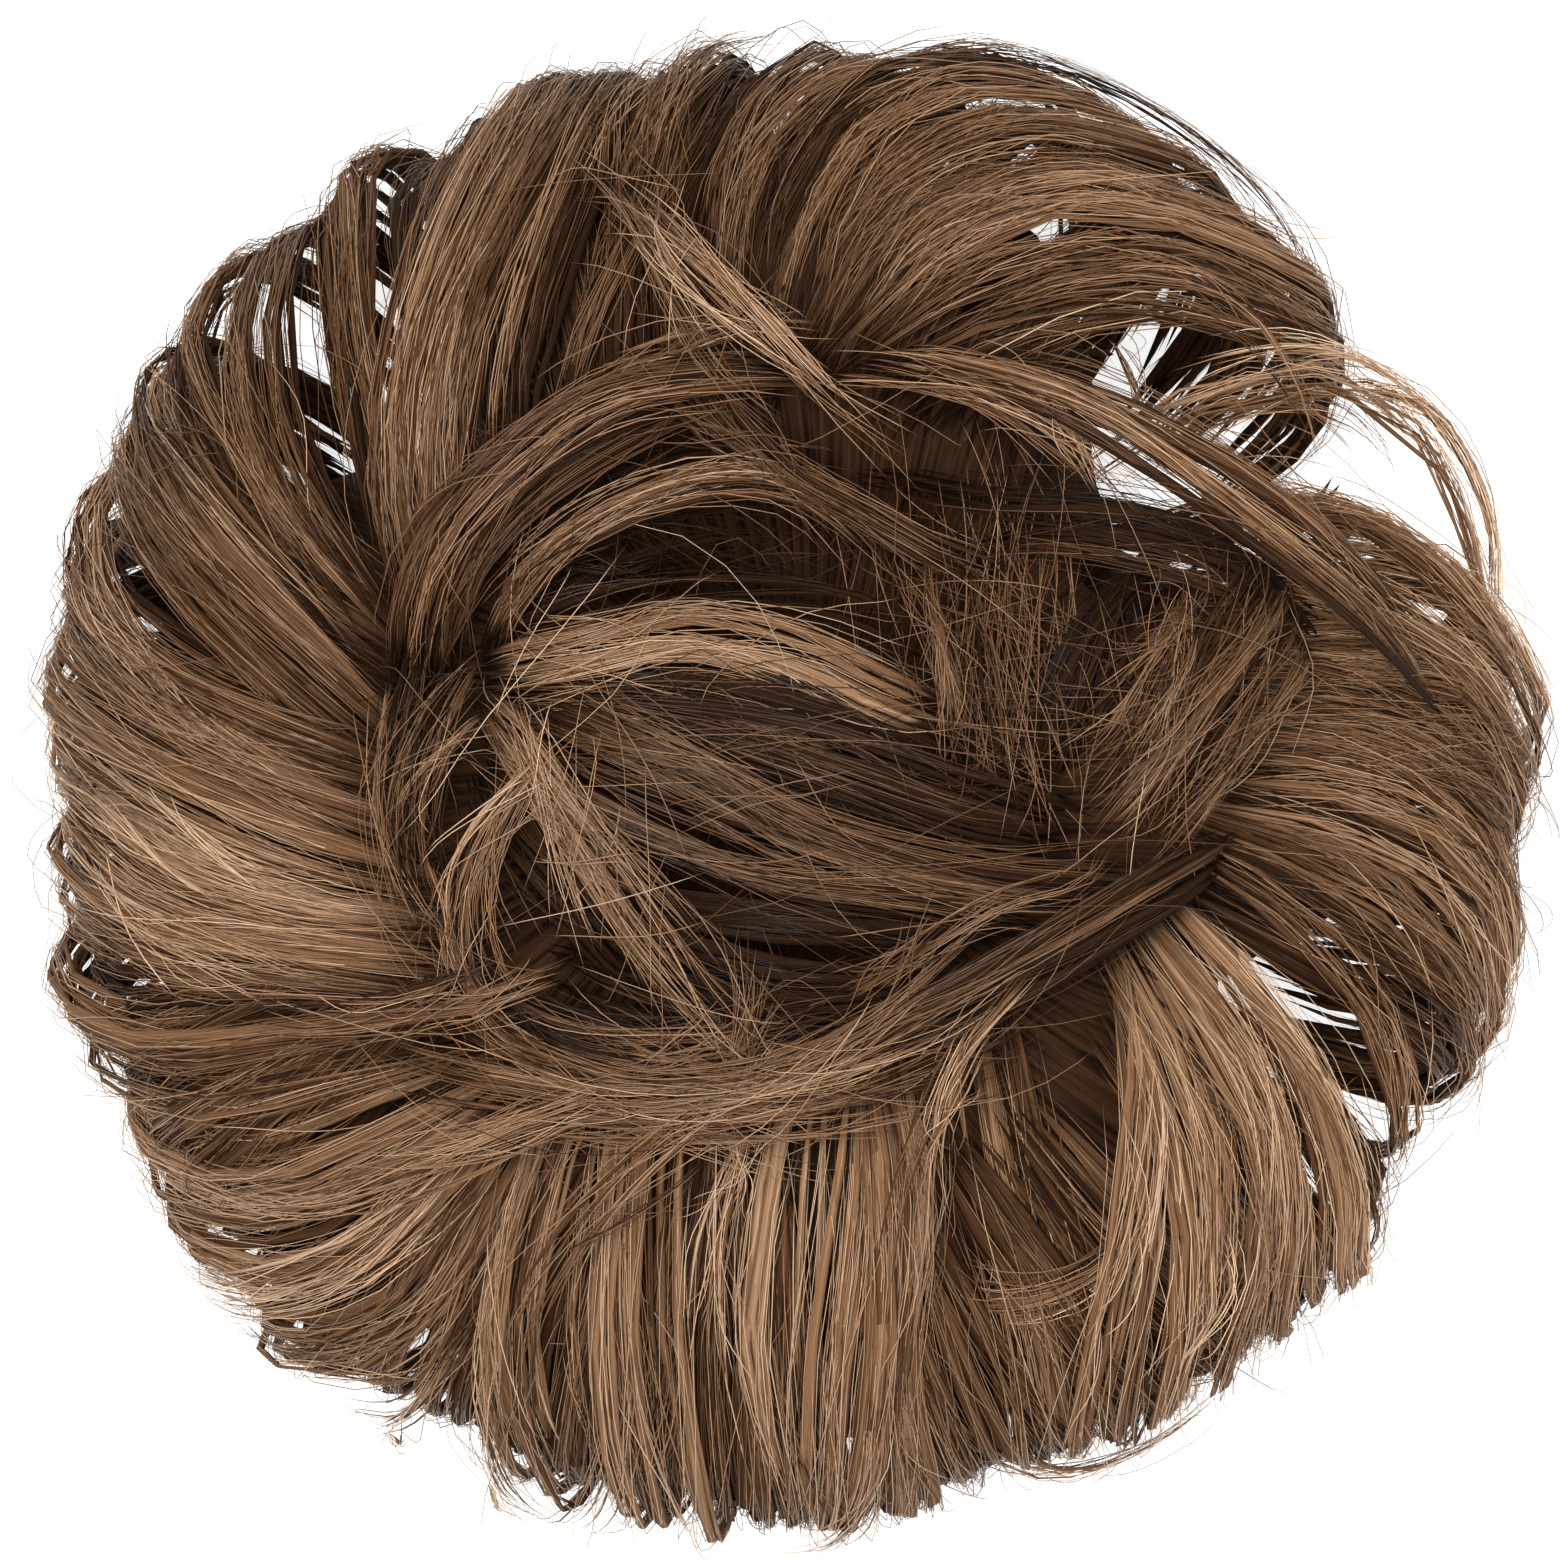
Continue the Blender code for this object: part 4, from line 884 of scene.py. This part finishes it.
def addBand():
    bpy.ops.mesh.primitive_torus_add(
        major_segments=band["around"], minor_segments=band["sides"],
        major_radius=band["radius"] * mm, minor_radius=band["cord"] * mm,
    )
    piece = bpy.context.object
    piece.name = "elasticBraid"
    for vert in piece.data.vertices:
        x, y, z = (c / mm for c in vert.co)
        around = math.atan2(y, x)
        off = math.hypot(x, y) - band["radius"]
        turn = math.atan2(z, off)
        right = math.sin(band["crossings"] * around / 2 + band["cords"] * turn / 2)
        left = math.sin(band["crossings"] * around / 2 - band["cords"] * turn / 2)
        reach = band["cord"] + band["depth"] * (max(abs(right), abs(left)) - 1)
        vert.co.x = ringMiddle[0] + (band["radius"] + reach * math.cos(turn)) * math.cos(around) * mm
        vert.co.y = ringMiddle[1] + (band["radius"] + reach * math.cos(turn)) * math.sin(around) * mm
        vert.co.z = (band["height"] + reach * math.sin(turn)) * mm
    piece.data.shade_smooth()
    piece.data.materials.append(bandMaterial())
    return piece


finishPiece(addBand(), "elastic", "elastic_band")


# The binding: a flat woven tape round the roots, stitched all round, with thread loops over the band

binding = dict(
    middle=28.35, halfWidth=3.95, height=(.25, 7.35), corner=5.0, around=180, sides=24,
    colour=((.35, (.035, .019, .011)), (.65, (.115, .068, .040))), threads=190,
    stitches=78, stitchLength=1.5, stitchRadius=.24, stitchRows=(25.9, 30.6),
    loops=8, loopRadius=3.36, loopThread=.42,
)


def tapeMaterial(name, stops, across):
    made, shader, s = newMaterial(name, {"Roughness": .8, "Specular IOR Level": .2})
    place = s.node("ShaderNodeTexCoord", {}, {}, "Object")
    warp = s.node("ShaderNodeTexWave", dict(bands_direction="DIAGONAL"), {"Vector": place, "Scale": across, "Distortion": .6})
    cloud = s.node("ShaderNodeTexNoise", {}, {"Vector": place, "Scale": 900.0, "Detail": 3.0})
    level = warp * .45 + cloud * .55
    ramp = s.node("ShaderNodeValToRGB", dict(stops=stops), {0: level})
    s.tree.links.new(ramp.out, shader.inputs["Base Color"])
    bump = s.node("ShaderNodeBump", {}, {"Height": level, "Strength": .6, "Distance": .0003})
    s.tree.links.new(bump.out, shader.inputs["Normal"])
    return made


def addBinding(finish):
    bpy.ops.mesh.primitive_torus_add(
        major_segments=binding["around"], minor_segments=binding["sides"],
        major_radius=binding["middle"] * mm, minor_radius=2 * mm,
    )
    piece = bpy.context.object
    piece.name = "bindingTape"
    bottom, top = binding["height"]
    for vert in piece.data.vertices:
        x, y, z = (c / mm for c in vert.co)
        around = math.atan2(y, x)
        turn = math.atan2(z, math.hypot(x, y) - binding["middle"])
        cos, sin = math.cos(turn), math.sin(turn)
        square = (abs(cos) ** binding["corner"] + abs(sin) ** binding["corner"]) ** (-1 / binding["corner"])
        ripple = 1 + .012 * math.sin(binding["stitches"] * around)
        reach = binding["middle"] + binding["halfWidth"] * cos * square * ripple
        vert.co = (
            ringMiddle[0] + reach * math.cos(around) * mm, ringMiddle[1] + reach * math.sin(around) * mm,
            ((bottom + top) / 2 + (top - bottom) / 2 * sin * square) * mm,
        )
    piece.data.shade_smooth()
    piece.data.materials.append(finish)
    return piece


def addStitches(finish):
    n = binding["stitches"] * len(binding["stitchRows"])
    bearing = np.repeat(np.linspace(0, 2 * math.pi, binding["stitches"], endpoint=False), len(binding["stitchRows"]))
    reach = np.tile(binding["stitchRows"], binding["stitches"])
    t = np.linspace(-.5, .5, 6)[None]
    turn = bearing[:, None] + t * binding["stitchLength"] / reach[:, None]
    lean = reach[:, None] + .25 * np.tile((1, -1), binding["stitches"])[:, None] * t * 2
    path = np.stack((
        ringMiddle[0] / mm + lean * np.cos(turn), ringMiddle[1] / mm + lean * np.sin(turn),
        binding["height"][0] + np.repeat(.25 * (2 * np.abs(t)) ** 3, n, 0) + .02,
    ), axis=2)
    radius = binding["stitchRadius"] * np.interp(t, (-.5, -.3, .3, .5), (.6, 1, 1, .6))
    aside = np.stack((np.cos(turn), np.sin(turn), 0 * turn), axis=2)
    rings = []
    for side in range(5):
        angle = 2 * math.pi * side / 5
        rings.append(path + radius[..., None] * (aside * math.cos(angle) + np.array((0, 0, 1.0)) * math.sin(angle)))
    rings = np.stack(rings, axis=2)[:, 1:-1]
    return tubeMesh("bindingStitches", rings, path[:, 0], path[:, -1], stripPlace(rng.random(n), .04), finish, floor=0)


def addLoops(finish):
    bpy.ops.object.select_all(action="DESELECT")
    made = []
    for number in range(binding["loops"]):
        around = 2 * math.pi * (number + .5) / binding["loops"]
        bpy.ops.mesh.primitive_torus_add(
            major_segments=36, minor_segments=8, major_radius=binding["loopRadius"] * mm, minor_radius=binding["loopThread"] * mm,
        )
        loop = bpy.context.object
        for vert in loop.data.vertices:
            x, y, z = vert.co
            twist = 1 + .12 * math.sin(18 * math.atan2(y, x) + 3 * math.atan2(z, math.hypot(x, y) - binding["loopRadius"] * mm))
            flat = math.hypot(x, y)
            reach = band["radius"] * mm + (x / flat) * (binding["loopRadius"] * mm + (flat - binding["loopRadius"] * mm) * twist)
            height = band["height"] * mm + (y / flat) * (binding["loopRadius"] * mm + (flat - binding["loopRadius"] * mm) * twist)
            aside = z * twist
            vert.co = (
                ringMiddle[0] + reach * math.cos(around) + aside * math.sin(around),
                ringMiddle[1] + reach * math.sin(around) - aside * math.cos(around), height,
            )
        loop.data.shade_smooth()
        made.append(loop)
    for loop in made:
        loop.select_set(True)
    bpy.context.view_layer.objects.active = made[0]
    bpy.ops.object.join()
    piece = bpy.context.object
    piece.name = "threadLoops"
    piece.data.materials.append(finish)
    return piece


tapeFinish = tapeMaterial("bindingTape", binding["colour"], 420.0)
threadFinish = tapeMaterial("bindingThread", ((.3, (.10, .058, .034)), (.7, (.24, .15, .09))), 1500.0)
finishPiece(addBinding(tapeFinish), "binding", "weft_binding")
finishPiece(addStitches(threadFinish), "binding", "weft_binding")
finishPiece(addLoops(threadFinish), "binding", "weft_binding")
